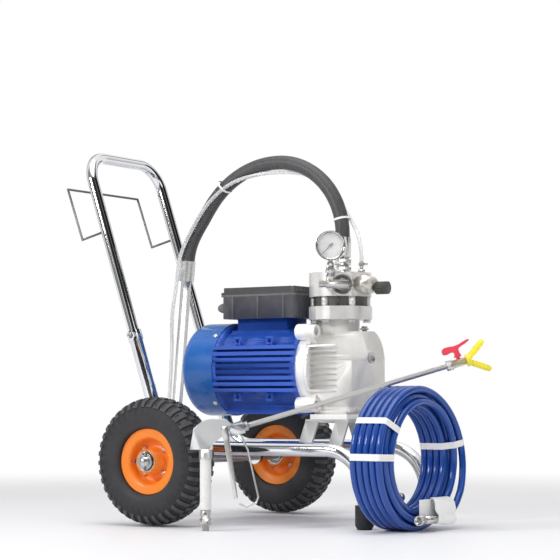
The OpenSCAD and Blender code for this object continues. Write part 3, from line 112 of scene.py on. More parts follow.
def finish(name, colour, rough, metal=0.0, spread=0.05, grain=60, pits=0.0, pit_size=700,
           edge=0.0, lift=0.0, **sockets):
    """A surface: its colour varies by spread, its gloss with it, and pits roughen it. Where edge is set
    its corners are broken by that radius, and lift paints a highlight, lightening the colour of what
    stands proud."""
    material = bpy.data.materials.new(name)
    tree = nodes_of(material)
    out = add(tree, "ShaderNodeOutputMaterial")
    shader = add(tree, "ShaderNodeBsdfPrincipled")
    wire(tree, shader.outputs[0], out.inputs["Surface"])
    place = add(tree, "ShaderNodeTexCoord")
    cloud = add(tree, "ShaderNodeTexNoise")
    cloud.inputs["Scale"].default_value = grain
    cloud.inputs["Detail"].default_value = 5
    wire(tree, place.outputs["Object"], cloud.inputs["Vector"])
    tint = add(tree, "ShaderNodeValToRGB")
    tint.color_ramp.elements[0].position = 0.3
    tint.color_ramp.elements[0].color = tuple(c * (1 - spread) for c in colour) + (1,)
    tint.color_ramp.elements[1].position = 0.7
    tint.color_ramp.elements[1].color = tuple(min(1, c * (1 + spread)) for c in colour) + (1,)
    wire(tree, cloud.outputs["Fac"], tint.inputs["Fac"])
    wire(tree, tint.outputs["Color"], shader.inputs["Base Color"])
    # Painted highlight: where the surface stands proud (by pointiness) its base colour is lightened by
    # lift, in place of light catching its edges and ridges.
    if lift:
        shape = add(tree, "ShaderNodeNewGeometry")
        proud = add(tree, "ShaderNodeMapRange")
        proud.inputs["From Min"].default_value = 0.5
        proud.inputs["From Max"].default_value = 0.62
        wire(tree, shape.outputs["Pointiness"], proud.inputs["Value"])
        highlight_mix = add(tree, "ShaderNodeMix", data_type="RGBA")
        highlight_colour = tuple(min(1, c * (1 + lift) + 0.06 * lift) for c in colour)
        highlight_mix.inputs["B"].default_value = highlight_colour + (1,)
        wire(tree, proud.outputs[0], highlight_mix.inputs["Factor"])
        wire(tree, tint.outputs["Color"], highlight_mix.inputs["A"])
        wire(tree, highlight_mix.outputs["Result"], shader.inputs["Base Color"])
    gloss = add(tree, "ShaderNodeMapRange")
    gloss.inputs["To Min"].default_value = rough * 0.75
    gloss.inputs["To Max"].default_value = min(1, rough * 1.3)
    wire(tree, cloud.outputs["Fac"], gloss.inputs["Value"])
    wire(tree, gloss.outputs[0], shader.inputs["Roughness"])
    shader.inputs["Metallic"].default_value = metal
    for socket, value in sockets.items():
        shader.inputs[socket.replace("_", " ").title().replace("Ior", "IOR")].default_value = value
    normal = None
    if edge:
        corner = add(tree, "ShaderNodeBevel", samples=4)
        corner.inputs["Radius"].default_value = edge
        normal = corner.outputs[0]
    if pits:
        dents = add(tree, "ShaderNodeTexNoise")
        dents.inputs["Scale"].default_value = pit_size
        dents.inputs["Detail"].default_value = 3
        wire(tree, place.outputs["Object"], dents.inputs["Vector"])
        relief = add(tree, "ShaderNodeBump")
        relief.inputs["Strength"].default_value = pits
        relief.inputs["Distance"].default_value = 0.0006
        wire(tree, dents.outputs["Fac"], relief.inputs["Height"])
        if normal:
            wire(tree, normal, relief.inputs["Normal"])
        normal = relief.outputs[0]
    if normal:
        wire(tree, normal, shader.inputs["Normal"])
    return material


def soft_line(name, places, radius, material, steps=3, sides=3):
    """A round hose, tube or wire along one smooth open line."""
    curve = bpy.data.curves.new(name, "CURVE")
    curve.dimensions = "3D"
    curve.resolution_u = curve.render_resolution_u = steps
    curve.bevel_depth = radius
    curve.bevel_resolution = sides
    curve.use_fill_caps = True
    line = curve.splines.new("BEZIER")
    line.bezier_points.add(len(places) - 1)
    for knot, place in zip(line.bezier_points, places):
        knot.co = place
        knot.handle_left_type = knot.handle_right_type = "AUTO"
    curve.materials.append(material)
    piece = bpy.data.objects.new(name, curve)
    link(piece)
    return piece


def body_holding(node):
    """The body that the record gives a node to."""
    bodies = frame["record"]["behaviour"]["bodies"]
    return next(body for body in bodies if node in bodies[body])


def shown(piece, body, *nodes):
    """Put a piece on its body, in the place of the nodes it stands for."""
    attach(piece, body)
    if nodes:
        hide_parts(*nodes)
    return piece


def solid(name, bm, material, crease=35):
    """A mesh piece from a bmesh, smooth across edges flatter than crease."""
    mesh = bpy.data.meshes.new(name)
    bm.to_mesh(mesh)
    bm.free()
    mesh.materials.append(material)
    mesh.shade_smooth()
    mesh.set_sharp_from_angle(angle=math.radians(crease))
    piece = bpy.data.objects.new(name, mesh)
    link(piece)
    return piece


def dress(material, *nodes, crease=35):
    """Merged copies of CAD nodes with smooth turned and cast faces, in their finish."""
    for node in nodes:
        bm = bmesh.new()
        bm.from_mesh(frame["nodes"][node].data)
        bmesh.ops.remove_doubles(bm, verts=bm.verts, dist=0.02 * mm)
        shown(solid(node + "_face", bm, material, crease), body_holding(node), node)


def between(t, knots):
    """The value at t on a line through knots, each a place and a value."""
    for (t0, v0), (t1, v1) in zip(knots, knots[1:]):
        if t <= t1:
            return v0 + (v1 - v0) * max(0, t - t0) / (t1 - t0)
    return knots[-1][1]


def wind_radius(t):
    """The radius of the winding after t turns: it steps in once per layer."""
    return between(t, [
        (0, coil_r), (turns, coil_r), (turns + step_turns, coil_r - wind_step),
        (2 * turns, coil_r - wind_step), (2 * turns + step_turns, coil_r - 2 * wind_step),
        (3 * turns, coil_r - 2 * wind_step),
    ])


def wind_place(t):
    """The place across the winding after t turns, to and fro, with a swell where it turns."""
    return between(t, [
        (0, coil_w + lead_out), (lead_turns, coil_w - lead_turns * wind_step), (turns, 0),
        (turns + swell_turns, -swell), (turns + step_turns, 0), (turns + 1, wind_step),
        (2 * turns, coil_w), (2 * turns + swell_turns, coil_w + swell),
        (2 * turns + step_turns, coil_w), (2 * turns + 1, coil_w - wind_step), (3 * turns, 0),
    ])


def on_circle(r, degrees):
    """A place on a circle round the coil's axis."""
    return Vector((r * math.cos(math.radians(degrees)), r * math.sin(math.radians(degrees)), 0))


def off_ring(centre, r, first, last, n, w0, w1):
    """The arc that an end takes as it leaves the ring."""
    return [
        centre + on_circle(r, first + (last - first) * i / n) + Vector((0, 0, w0 + (w1 - w0) * i / n))
        for i in range(n + 1)
    ]


end_angle = start_angle + 360 * end_turns
out_centre = on_circle(coil_r - leave_r, start_angle)
in_centre = on_circle(coil_r - 2 * wind_step - inner_r, end_angle)
out_end = out_centre + Vector((0, -leave_r, coil_w + lead_out + lead_rise))
in_end = in_centre + Vector((0, -inner_r, wind_place(end_turns)))
past = end_angle % 360
lead_clear = 5
tail_clear = 14
coil_line = [out_end - Vector((hose_d, 0, 0))]
lead_to = start_angle - lead_clear
coil_line += off_ring(out_centre, leave_r, -90, lead_to, 5, out_end.z, coil_w + lead_out)
coil_line += [
    on_circle(wind_radius(i / ring_n), start_angle + 360 * i / ring_n)
    + Vector((0, 0, wind_place(i / ring_n)))
    for i in range(int(end_turns * ring_n) + 1)
]
coil_line += off_ring(in_centre, inner_r, past + tail_clear, 270, 6, in_end.z, in_end.z)
coil_line += [in_end + Vector((hose_d, 0, 0))]

# The coil's own frame: Z along its axis to the front, X to the cart's left, Y up.
coil_frame = (
    Matrix.Translation(coil_at) @ Matrix.Rotation(coil_turn, 4, "Z")
    @ Matrix(((0, 0, 1, -coil_w / 2), (1, 0, 0, 0), (0, 1, 0, 0), (0, 0, 0, 1)))
)
coil_line = [coil_frame @ place for place in coil_line]

hose_blue = finish("hose_blue", (0.010, 0.066, 0.34), 0.20, spread=0.06, grain=25,
                   coat_weight=0.6, coat_roughness=0.05, specular_ior_level=0.3)
coil = soft_line("coil_hose", coil_line, hose_d / 2, hose_blue)
shown(coil, "cart", "hose_coil")

fitting_steel = finish("fitting_steel", (0.74, 0.73, 0.71), 0.22, 1.0, 0.05, 80, 0.1, 500, 0.5 * mm)
dress(fitting_steel, "coil_fittings")

# Ties: flat white bands drawn tight round the bundle, each with its end tucked under.
tie_wide = 13 * mm
tie_thick = 0.8 * mm
tie_slack = 0.3 * mm
tie_angles = (148, 178, 12)
tie_white = finish("tie_white", (0.90, 0.90, 0.89), 0.38, spread=0.02, grain=90, pits=0.15,
                   pit_size=500)


def round_band(low, high, r, steps=6):
    """A closed line round a box with rounded corners, in two dimensions."""
    line = []
    corners = [(high[0] - r, high[1] - r, 0), (low[0] + r, high[1] - r, 90),
               (low[0] + r, low[1] + r, 180), (high[0] - r, low[1] + r, 270)]
    for x, y, turn in corners:
        for i in range(steps + 1):
            a = math.radians(turn + 90 * i / steps)
            line.append((x + r * math.cos(a), y + r * math.sin(a)))
    return line


def tight_line(centres, r, steps=20):
    """The closed line of a band pulled tight round circles of one radius."""
    places = sorted(
        (x + r * math.cos(2 * math.pi * i / steps), y + r * math.sin(2 * math.pi * i / steps))
        for x, y in centres for i in range(steps)
    )
    halves = []
    for run in (places, places[::-1]):
        half = []
        for x, y in run:
            while len(half) > 1 and (
                (half[-1][0] - half[-2][0]) * (y - half[-2][1])
                - (half[-1][1] - half[-2][1]) * (x - half[-2][0])
            ) <= 0:
                half.pop()
            half.append((x, y))
        halves += half[:-1]
    return halves


def rounded(piece, width):
    """Break a piece's sharp corners in its geometry."""
    rounding = piece.modifiers.new("rounding", "BEVEL")
    rounding.width = width
    rounding.segments = 2
    rounding.limit_method = "ANGLE"
    return piece


def band(name, line, wide, thick, at, material):
    """A flat strap bent along a closed line, its width along its own Z, then laid at its place."""
    bm = bmesh.new()
    ring = [bm.verts.new((x, y, -wide / 2)) for x, y in line]
    edges = [bm.edges.new((a, b)) for a, b in zip(ring, ring[1:] + ring[:1])]
    side = bmesh.ops.extrude_edge_only(bm, edges=edges)["geom"]
    upper = [v for v in side if isinstance(v, bmesh.types.BMVert)]
    bmesh.ops.translate(bm, verts=upper, vec=(0, 0, wide))
    bmesh.ops.recalc_face_normals(bm, faces=bm.faces)
    bmesh.ops.solidify(bm, geom=bm.faces[:], thickness=thick)
    bmesh.ops.transform(bm, matrix=at, verts=bm.verts)
    bmesh.ops.recalc_face_normals(bm, faces=bm.faces)
    return rounded(solid(name, bm, material, 50), thick * 0.3)


for i, angle in enumerate(tie_angles):
    first = (angle - start_angle) / 360 % 1
    strands = [first + k for k in range(3 * turns) if first + k <= end_turns]
    line = tight_line([(wind_radius(t), wind_place(t)) for t in strands], hose_d / 2 + tie_slack)
    lay = coil_frame @ Matrix.Rotation(math.radians(angle), 4, "Z")
    lay = lay @ Matrix.Rotation(math.pi / 2, 4, "X")
    tie = band(f"coil_tie_{i}", line, tie_wide, tie_thick, lay, tie_white)
    shown(tie, "cart")
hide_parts("coil_ties")

# The blank white card label, folded round the hose behind its fitting and glued to itself.
card_up = 38 * mm
card_thick = 0.5 * mm
card_hug = 12.6 * mm
card_neck = hose_d / 2 + 1 * mm
card_back_set = 0.4 * mm
card_white = finish("card_white", (0.96, 0.96, 0.95), 0.55, spread=0.015, grain=40, pits=0.06,
                    pit_size=300)


def fold(k):
    """The card's line round the hose: glued shut down to the hose at k 0, open at k 1."""
    r = card_neck + k * (card_hug - card_neck)
    line = [(-card_hug, 0.9 * card_up), (-card_hug, 0.5 * card_up), (-r, 0)]
    line += [on_circle(r, a)[:2] for a in range(200, 361, 20)]
    front = [(0.7 - 0.1 * k, 0.20), (0.1 + 0.8 * k, 0.45), (0.6 * k, 0.85), (-0.2 + 0.2 * k, 1.0),
             (-0.8 + 0.2 * k, 1.08), (-0.97, 0.92)]
    return line + [(-card_hug + (x + 1) * card_hug, y * card_up) for x, y in front]


sheets = [
    ("card_wrap", [(-15, fold(0)), (-6, fold(0.4)), (8, fold(0.8)), (24, fold(1)), (44, fold(1))]),
    ("card_back", [(x, [(-card_hug - card_back_set, y * card_up) for y in (1.0, 0.5, low)])
                   for x, low in ((-50, 0.25), (-44, 0.0), (-12, -0.1))]),
]
for name, stations in sheets:
    bm = bmesh.new()
    runs = []
    for x, outline in stations:
        ring = [bm.verts.new((x * mm, y, z)) for z, y in outline]
        runs.append([bm.edges.new(pair) for pair in zip(ring, ring[1:])])
    for one, other in zip(runs, runs[1:]):
        bmesh.ops.bridge_loops(bm, edges=one + other)
    bmesh.ops.recalc_face_normals(bm, faces=bm.faces)
    bmesh.ops.solidify(bm, geom=bm.faces[:], thickness=card_thick)
    bmesh.ops.transform(bm, matrix=coil_frame @ Matrix.Translation(out_end), verts=bm.verts)
    bmesh.ops.recalc_face_normals(bm, faces=bm.faces)
    shown(solid(name, bm, card_white, 30), "cart")

# ---- Room ----
# A pale floor that fades into a white backdrop, soft lamps above and in front, and a
# surround that gives polished metal its bright walls and dark gaps.

room = bpy.data.worlds.new("room")
bpy.context.scene.world = room
tree = nodes_of(room)
room_out = add(tree, "ShaderNodeOutputWorld")
rays = add(tree, "ShaderNodeLightPath")
way = add(tree, "ShaderNodeTexCoord")
parts = add(tree, "ShaderNodeSeparateXYZ")
wire(tree, way.outputs["Generated"], parts.inputs[0])
turn = add(tree, "ShaderNodeMath", operation="ARCTAN2")
wire(tree, parts.outputs["Y"], turn.inputs[0])
wire(tree, parts.outputs["X"], turn.inputs[1])
around = add(tree, "ShaderNodeMapRange")
around.inputs["From Min"].default_value = -math.pi
around.inputs["From Max"].default_value = math.pi
wire(tree, turn.outputs[0], around.inputs["Value"])
walls = add(tree, "ShaderNodeValToRGB")
# Round the horizon: place as a share of a turn, brightness.
wall_stops = [
    (0.00, 0.80), (0.07, 0.75), (0.10, 0.20), (0.135, 0.05), (0.155, 0.40), (0.175, 0.45),
    (0.19, 0.07), (0.215, 0.07), (0.235, 0.60), (0.262, 0.70), (0.280, 0.10), (0.33, 0.02),
    (0.41, 0.012), (0.430, 0.20), (0.442, 0.22), (0.458, 0.015), (0.63, 0.015), (0.66, 0.90),
    (0.70, 1.00), (0.715, 0.15), (0.735, 0.12), (0.75, 0.95), (0.84, 1.00), (0.87, 0.30),
    (0.92, 0.20), (0.95, 0.80),
]
for k, (place, level) in enumerate(wall_stops):
    stop = walls.color_ramp.elements[k] if k < 2 else walls.color_ramp.elements.new(place)
    stop.position = place
    stop.color = (level, level, level, 1)
wire(tree, around.outputs[0], walls.inputs["Fac"])
overhead = add(tree, "ShaderNodeMapRange")
overhead.inputs["From Min"].default_value = 0.62
overhead.inputs["From Max"].default_value = 0.85
wire(tree, parts.outputs["Z"], overhead.inputs["Value"])
ceiling = add(tree, "ShaderNodeMix", data_type="RGBA")
wire(tree, overhead.outputs[0], ceiling.inputs["Factor"])
wire(tree, walls.outputs["Color"], ceiling.inputs["A"])
ceiling.inputs["B"].default_value = (1, 1, 1, 1)
mirror = add(tree, "ShaderNodeBackground")
wire(tree, ceiling.outputs["Result"], mirror.inputs["Color"])
plain = add(tree, "ShaderNodeBackground")
plain.inputs["Color"].default_value = (1, 1, 1, 1)
plain.inputs["Strength"].default_value = 0.55
white = add(tree, "ShaderNodeBackground")
white.inputs["Color"].default_value = (1, 1, 1, 1)
by_gloss = add(tree, "ShaderNodeMixShader")
wire(tree, rays.outputs["Is Glossy Ray"], by_gloss.inputs["Fac"])
wire(tree, plain.outputs[0], by_gloss.inputs[1])
wire(tree, mirror.outputs[0], by_gloss.inputs[2])
seen = add(tree, "ShaderNodeMath", operation="MAXIMUM")
wire(tree, rays.outputs["Is Camera Ray"], seen.inputs[0])
wire(tree, rays.outputs["Is Transmission Ray"], seen.inputs[1])
by_camera = add(tree, "ShaderNodeMixShader")
wire(tree, seen.outputs[0], by_camera.inputs["Fac"])
wire(tree, by_gloss.outputs[0], by_camera.inputs[1])
wire(tree, white.outputs[0], by_camera.inputs[2])
wire(tree, by_camera.outputs[0], room_out.inputs["Surface"])

floor_half = 9.0
fade_near = 0.9
fade_far = 2.6
floor_material = bpy.data.materials.new("floor")
tree = nodes_of(floor_material)
out = add(tree, "ShaderNodeOutputMaterial")
lit = add(tree, "ShaderNodeBsdfPrincipled")
lit.inputs["Base Color"].default_value = (0.90, 0.90, 0.92, 1)
lit.inputs["Roughness"].default_value = 0.55
glow = add(tree, "ShaderNodeEmission")
glow.inputs["Color"].default_value = (1, 1, 1, 1)
spot = add(tree, "ShaderNodeTexCoord")
far = add(tree, "ShaderNodeVectorMath", operation="LENGTH")
wire(tree, spot.outputs["Object"], far.inputs[0])
fade = add(tree, "ShaderNodeMapRange", interpolation_type="SMOOTHSTEP")
fade.inputs["From Min"].default_value = fade_near
fade.inputs["From Max"].default_value = fade_far
wire(tree, far.outputs["Value"], fade.inputs["Value"])
blend_out = add(tree, "ShaderNodeMixShader")
wire(tree, fade.outputs[0], blend_out.inputs["Fac"])
wire(tree, lit.outputs[0], blend_out.inputs[1])
wire(tree, glow.outputs[0], blend_out.inputs[2])
wire(tree, blend_out.outputs[0], out.inputs["Surface"])

bm = bmesh.new()
bmesh.ops.create_grid(bm, x_segments=1, y_segments=1, size=floor_half)
floor = solid("floor", bm, floor_material)


def soft_lamp(name, at, towards, size, power):
    """A round area lamp aimed at a place."""
    lamp = bpy.data.lights.new(name, "AREA")
    lamp.shape = "DISK"
    lamp.size = size
    lamp.energy = power
    holder = bpy.data.objects.new(name, lamp)
    link(holder)
    aim = (Vector(towards) - Vector(at)).to_track_quat("-Z", "Y").to_matrix().to_4x4()
    holder.matrix_world = Matrix.Translation(at) @ aim


soft_lamp("lamp_top", (0.4, -0.6, 2.6), (0.2, 0, 0.2), 2.2, 30)
soft_lamp("lamp_left", (-1.0, -2.6, 1.5), (0.2, 0, 0.3), 0.6, 30)
soft_lamp("lamp_right", (2.4, -0.9, 1.3), (0.3, 0, 0.3), 1.4, 5)

# ---- Cart frame and handle ----
# Chromed steel tube: two side rails bent down to the front legs, a pull-out handle that
# slides into sleeves welded to their rear ends, and a bent wire hook for the paint hose.

chrome = finish("chrome", (0.80, 0.81, 0.83), 0.07, 1.0, 0.03, 24)
dress(chrome, "frame_right", "frame_left", "handle")
wire_zinc = finish("wire_zinc", (0.16, 0.16, 0.165), 0.35, 0.5, 0.08, 120)
dress(wire_zinc, "hose_hanger")

screw_steel = finish("screw_steel", (0.55, 0.55, 0.55), 0.3, 1.0, 0.06, 90, edge=0.4 * mm)
dress(screw_steel, "sleeve_screws", "axle_retainers", "axle")

# ---- Feet ----
# Black rubber caps pushed over the ends of both front legs, moulded with a rolled rim.

foot_rubber = finish("foot_rubber", (0.028, 0.028, 0.031), 0.5, spread=0.2, grain=70, pits=0.3,
                     pit_size=900, edge=2.5 * mm, specular_ior_level=0.3)
dress(foot_rubber, "feet")

# ---- Tyres ----
# Black pneumatic tyres, moulded rubber with deep shoulder lugs that run down the side and a
# zigzag of blocks across the crown. Each sits in the seat of its split rim.

wheel_z = 130 * mm
track = 482 * mm
pitch_n = 40
lug_up = 2.6 * mm
lug_part = 2.5
shoulder_r = 106 * mm
shoulder_from = 14 * mm
crown_r = 124 * mm
crown_from = 2 * mm
lug_draft = 0.7 * mm
tyre_rubber = finish("tyre_rubber", (0.026, 0.026, 0.029), 0.52, spread=0.22, grain=45, pits=0.35,
                     pit_size=500, edge=0.8 * mm, lift=0.9, specular_ior_level=0.3)

# The carcass from the near bead over the crown to the far bead: radius, place across.
carcass = [
    (66.8, 20), (66.9, 29), (67.4, 33), (69, 36.5), (72.5, 39.2), (78, 41.2), (90, 42.2), (100, 40.8),
    (108, 38.5), (114, 35.5), (119, 30.5), (122.4, 24.5), (125, 16), (126.2, 8), (126.6, 0),
]
carcass += [(r, -w) for r, w in carcass[-2::-1]]


def on_axle(side):
    """A wheel's place: its own Z points outward along the axle."""
    middle = Matrix.Translation((0, side * track / 2, wheel_z))
    return middle @ Matrix.Rotation(math.radians(-side * 90), 4, "X")


def tyre(name, side, node):
    """The carcass spun round, with lugs raised on 4 steps per pitch."""
    bm = bmesh.new()
    ring = [bm.verts.new((r * mm, 0, w * mm)) for r, w in carcass]
    strip = [bm.edges.new(pair) for pair in zip(ring, ring[1:])]
    steps = pitch_n * 4
    bmesh.ops.spin(bm, geom=ring + strip, cent=(0, 0, 0), axis=(0, 0, 1), angle=2 * math.pi,
                   steps=steps, use_merge=True)
    bmesh.ops.remove_doubles(bm, verts=bm.verts, dist=0.01 * mm)
    bmesh.ops.recalc_face_normals(bm, faces=bm.faces)
    shoulder, crown = [], []
    for face in bm.faces:
        place = face.calc_center_median()
        r = math.hypot(place.x, place.y)
        step = math.atan2(place.y, place.x) / (2 * math.pi) * steps
        if shoulder_r < r and abs(place.z) > shoulder_from:
            if (step + (2 if place.z < 0 else 0)) % 4 < lug_part:
                shoulder.append(face)
        elif r > crown_r:
            skew = 1.0 if place.z > 0 else -1.0
            if (step + 1 + skew) % 4 < lug_part and abs(place.z) > crown_from:
                crown.append(face)
    for faces, rise in ((shoulder, lug_up), (crown, lug_up * 0.9)):
        bmesh.ops.inset_region(bm, faces=faces, thickness=lug_draft, depth=rise, use_even_offset=True)
    bmesh.ops.transform(bm, matrix=on_axle(side), verts=bm.verts)
    bmesh.ops.recalc_face_normals(bm, faces=bm.faces)
    shown(solid(name, bm, tyre_rubber, 28), body_holding(node), node)


tyre("tyre_right_tread", -1, "tyre_right")
tyre("tyre_left_tread", 1, "tyre_left")

# ---- Rims ----
# Split rims pressed from sheet in two halves, bolted back to back and powder coated orange.
# A ball bearing sits in each end of the hub, and the valve comes through the outer half.

rim_orange = finish("rim_orange", (1.0, 0.26, 0.025), 0.33, spread=0.05, grain=30, pits=0.08,
                    pit_size=300, edge=1.0 * mm, coat_weight=0.15, specular_ior_level=0.35)
dress(rim_orange, "rim_right", "rim_left")
bolt_zinc = finish("bolt_zinc", (0.86, 0.86, 0.85), 0.32, 0.7, 0.04, 90, edge=0.4 * mm)
dress(bolt_zinc, "rim_bolts_right", "rim_bolts_left", "motor_screws", "head_bolts")
bearing_steel = finish("bearing_steel", (0.60, 0.60, 0.60), 0.25, 1.0, 0.06, 90, edge=0.3 * mm)
dress(bearing_steel, "bearings_right", "bearings_left", "motor_bearings", "motor_shaft",
      "eccentric", "piston")
cap_black = finish("cap_black", (0.02, 0.02, 0.02), 0.4, spread=0.1, grain=90)
cap_d = 10 * mm
cap_l = 12 * mm
cap_at = (33 * mm, 0, 20.8 * mm)
cap_lean = -65


def lathe(bm, outline, steps=32):
    """A turned shape round Z from its outline in the XZ plane: radius, height."""
    ring = [bm.verts.new((r, 0, z)) for r, z in outline]
    strip = [bm.edges.new(pair) for pair in zip(ring, ring[1:])]
    bmesh.ops.spin(bm, geom=ring + strip, cent=(0, 0, 0), axis=(0, 0, 1), angle=2 * math.pi,
                   steps=steps, use_merge=True)
    bmesh.ops.remove_doubles(bm, verts=bm.verts, dist=0.001 * mm)
    bmesh.ops.recalc_face_normals(bm, faces=bm.faces)


for name, side in (("right", -1), ("left", 1)):
    bm = bmesh.new()
    r = cap_d / 2
    lathe(bm, [(0, 0), (r, 0), (r, 0.8 * cap_l), (0.6 * r, cap_l), (0, cap_l)], 20)
    lean = Matrix.Rotation(math.radians(180), 4, "Z") @ Matrix.Translation(cap_at)
    lean = lean @ Matrix.Rotation(math.radians(cap_lean), 4, "Y")
    bmesh.ops.transform(bm, matrix=on_axle(side) @ lean, verts=bm.verts)
    shown(solid(f"valve_cap_{name}", bm, cap_black), "wheel_" + name)

# ---- Motor ----
# A totally enclosed fan-cooled motor: a finned body cast in aluminium and painted blue, a
# pressed sheet cover over the fan, painted too, and plain steel laminations within.

motor_blue = finish("motor_blue", (0.014, 0.075, 0.42), 0.36, spread=0.10, grain=50, pits=0.25,
                    pit_size=420, edge=0.9 * mm, lift=0.35, specular_ior_level=0.4)
dress(motor_blue, "motor_body")
cover_blue = finish("cover_blue", (0.012, 0.115, 0.42), 0.27, spread=0.05, grain=30, pits=0.05,
                    pit_size=200, edge=0.8 * mm, coat_weight=0.3, specular_ior_level=0.4)
dress(cover_blue, "fan_cover")
core_iron = finish("core_iron", (0.28, 0.26, 0.24), 0.5, 0.6, 0.1, 90)
dress(core_iron, "stator", "rotor")

# ---- Terminal box ----
# A moulded black box on the motor's pad, ribbed along its sides, with a screwed lid and a
# cable gland at the rear.

box_black = finish("box_black", (0.165, 0.165, 0.167), 0.42, spread=0.10, grain=60, pits=0.2,
                   pit_size=900, edge=1.0 * mm, specular_ior_level=0.35)
dress(box_black, "terminal_box", "cable_gland", "fan")
lid_black = finish("lid_black", (0.062, 0.062, 0.064), 0.36, spread=0.10, grain=60, pits=0.15,
                   pit_size=900, edge=1.0 * mm, specular_ior_level=0.35)
dress(lid_black, "box_lid")

# ---- Crankcase and bracket ----
# A die-cast aluminium case with cooling ribs and a cast end shield behind it, bolted by four
# cap screws, on a folded steel table whose legs are welded to the rails.

cast_alloy = finish("cast_alloy", (0.88, 0.86, 0.82), 0.42, 0.30, 0.03, 70, 0.35, 700,
                    edge=1.6 * mm, lift=0.2)
dress(cast_alloy, "crankcase", "end_shield")
table_steel = finish("table_steel", (0.40, 0.395, 0.39), 0.5, 0.45, 0.14, 160, 0.4, 900,
                     edge=0.8 * mm, lift=0.3)
dress(table_steel, "motor_bracket")
plug_steel = finish("plug_steel", (0.56, 0.56, 0.54), 0.3, 1.0, 0.08, 120, edge=0.5 * mm)
dress(plug_steel, "crankcase_plugs", "flange_bolts")

# ---- Pump head ----
# Turned stainless blocks: the flange on the case's neck, the spacer ring with the diaphragm
# clamped in it, and the head above, drawn together by long bolts in sleeves.

turned_steel = finish("turned_steel", (0.84, 0.83, 0.81), 0.33, 0.55, 0.03, 60, 0.02, 900,
                      edge=0.9 * mm)
dress(turned_steel, "head_block", "pump_flange")
ring_steel = finish("ring_steel", (0.115, 0.11, 0.105), 0.42, 0.5, 0.10, 90, edge=0.6 * mm)
dress(ring_steel, "diaphragm")
valve_steel = finish("valve_steel", (0.66, 0.65, 0.62), 0.28, 0.85, 0.06, 120, edge=0.5 * mm)
dress(valve_steel, "bleed_valve", "outlet_manifold")
warm_alloy = finish("warm_alloy", (0.72, 0.70, 0.63), 0.34, 0.8, 0.07, 120, 0.15, 800, edge=0.9 * mm)
dress(warm_alloy, "regulator_body")
knob_black = finish("knob_black", (0.085, 0.085, 0.078), 0.4, spread=0.1, grain=90, pits=0.15,
                    edge=0.8 * mm, specular_ior_level=0.35)
dress(knob_black, "pressure_knob")

# ---- Pressure gauge ----
# A round steel case on a stem, with a polished bezel, a white dial and a fine needle under
# clear glass.

bezel_steel = finish("bezel_steel", (0.80, 0.80, 0.79), 0.16, 1.0, 0.03, 60, edge=0.6 * mm)
dress(bezel_steel, "pressure_gauge")
needle_grey = finish("needle_grey", (0.25, 0.25, 0.27), 0.4, spread=0.05)
dress(needle_grey, "gauge_needle")
dial_white = finish("dial_white", (0.94, 0.94, 0.93), 0.5, spread=0.01, grain=40, pits=0.03)
tick_grey = finish("tick_grey", (0.10, 0.10, 0.11), 0.5, spread=0.02)
dial_r = 25.6 * mm
dial_hole = 2.6 * mm
dial_thick = 0.4 * mm
dial_set = 8.9 * mm
dial_turn = -56
tick_n = 31
tick_wide = 0.45
tick_long = 4.5
tick_short = 2.5
tick_edge = 1.5
tick_first = 45
tick_step = 9
glass_low, glass_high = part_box("gauge_glass")
dial_face = (
    Matrix.Translation((Vector(glass_low) + Vector(glass_high)) / 2)
    @ Matrix.Rotation(math.radians(dial_turn), 4, "Z") @ Matrix.Rotation(math.pi / 2, 4, "Y")
    @ Matrix.Translation((0, 0, -dial_set))
)
bm = bmesh.new()
lathe(bm, [(dial_hole, 0), (dial_r, 0), (dial_r, dial_thick), (dial_hole, dial_thick),
           (dial_hole, 0)], 64)
bmesh.ops.transform(bm, matrix=dial_face, verts=bm.verts)
shown(solid("gauge_dial", bm, dial_white), "cart")
bm = bmesh.new()
for k in range(tick_n):
    long = tick_long if k % 5 == 0 else tick_short
    angle = math.radians(tick_first + tick_step * k)
    tick = bmesh.ops.create_cube(bm, size=1 * mm)["verts"]
    bmesh.ops.scale(bm, vec=(long, tick_wide, 0.2), verts=tick)
    bmesh.ops.translate(bm, vec=(dial_r - (tick_edge + long / 2) * mm, 0, dial_thick), verts=tick)
    bmesh.ops.rotate(bm, matrix=Matrix.Rotation(angle, 3, "Z"), verts=tick)
bmesh.ops.bevel(bm, geom=bm.edges[:], offset=0.03 * mm, affect="EDGES", segments=1, profile=0.5,
                material=-1)
bmesh.ops.transform(bm, matrix=dial_face, verts=bm.verts)
shown(solid("gauge_ticks", bm, tick_grey), "cart")
dial_glass = finish("dial_glass", (0.97, 0.98, 0.99), 0.05, spread=0.005, alpha=0.12,
                    specular_ior_level=0.3)
dress(dial_glass, "gauge_glass")

# ---- Suction hose ----
# Black rubber hose in an arch from the pump to the dip pipe, held at both ends
# by pressed steel ferrules, with a slotted strainer on the pipe's foot.

inlet = Vector((0.298, 0, 0))
head_top = 0.511
arch_r = 0.160
arch_z = 0.590
side_r = 0.208
side_turn = 55
limb_z = arch_z + arch_r - side_r
slope_l = 0.060
drop_r = 0.130
drop_turn = 29.8
hose_draw_r = 0.0149
hose_starts = (0.036, 0.050, 0.065)
hose_tail_l = 0.020


def polar(x, z, r, degrees):
    """A place on an arc in the cart's middle plane, from its centre at x and z."""
    a = math.radians(degrees)
    return Vector((x + r * math.cos(a), 0, z + r * math.sin(a)))


arch_x = inlet.x - arch_r
drop_from = polar(arch_x, limb_z, side_r, 90 + side_turn)
slope = Vector((math.cos(math.radians(side_turn)), 0, math.sin(math.radians(side_turn))))
drop_at = drop_from - slope_l * slope
tilt = 90 - side_turn - drop_turn
side_lean = math.radians(90 - side_turn)
drop_centre = drop_at + drop_r * Vector((math.cos(side_lean), 0, -math.sin(side_lean)))
tail = polar(drop_centre.x, drop_centre.z, drop_r, 180 - tilt)
down = Vector((-math.sin(math.radians(tilt)), 0, -math.cos(math.radians(tilt))))

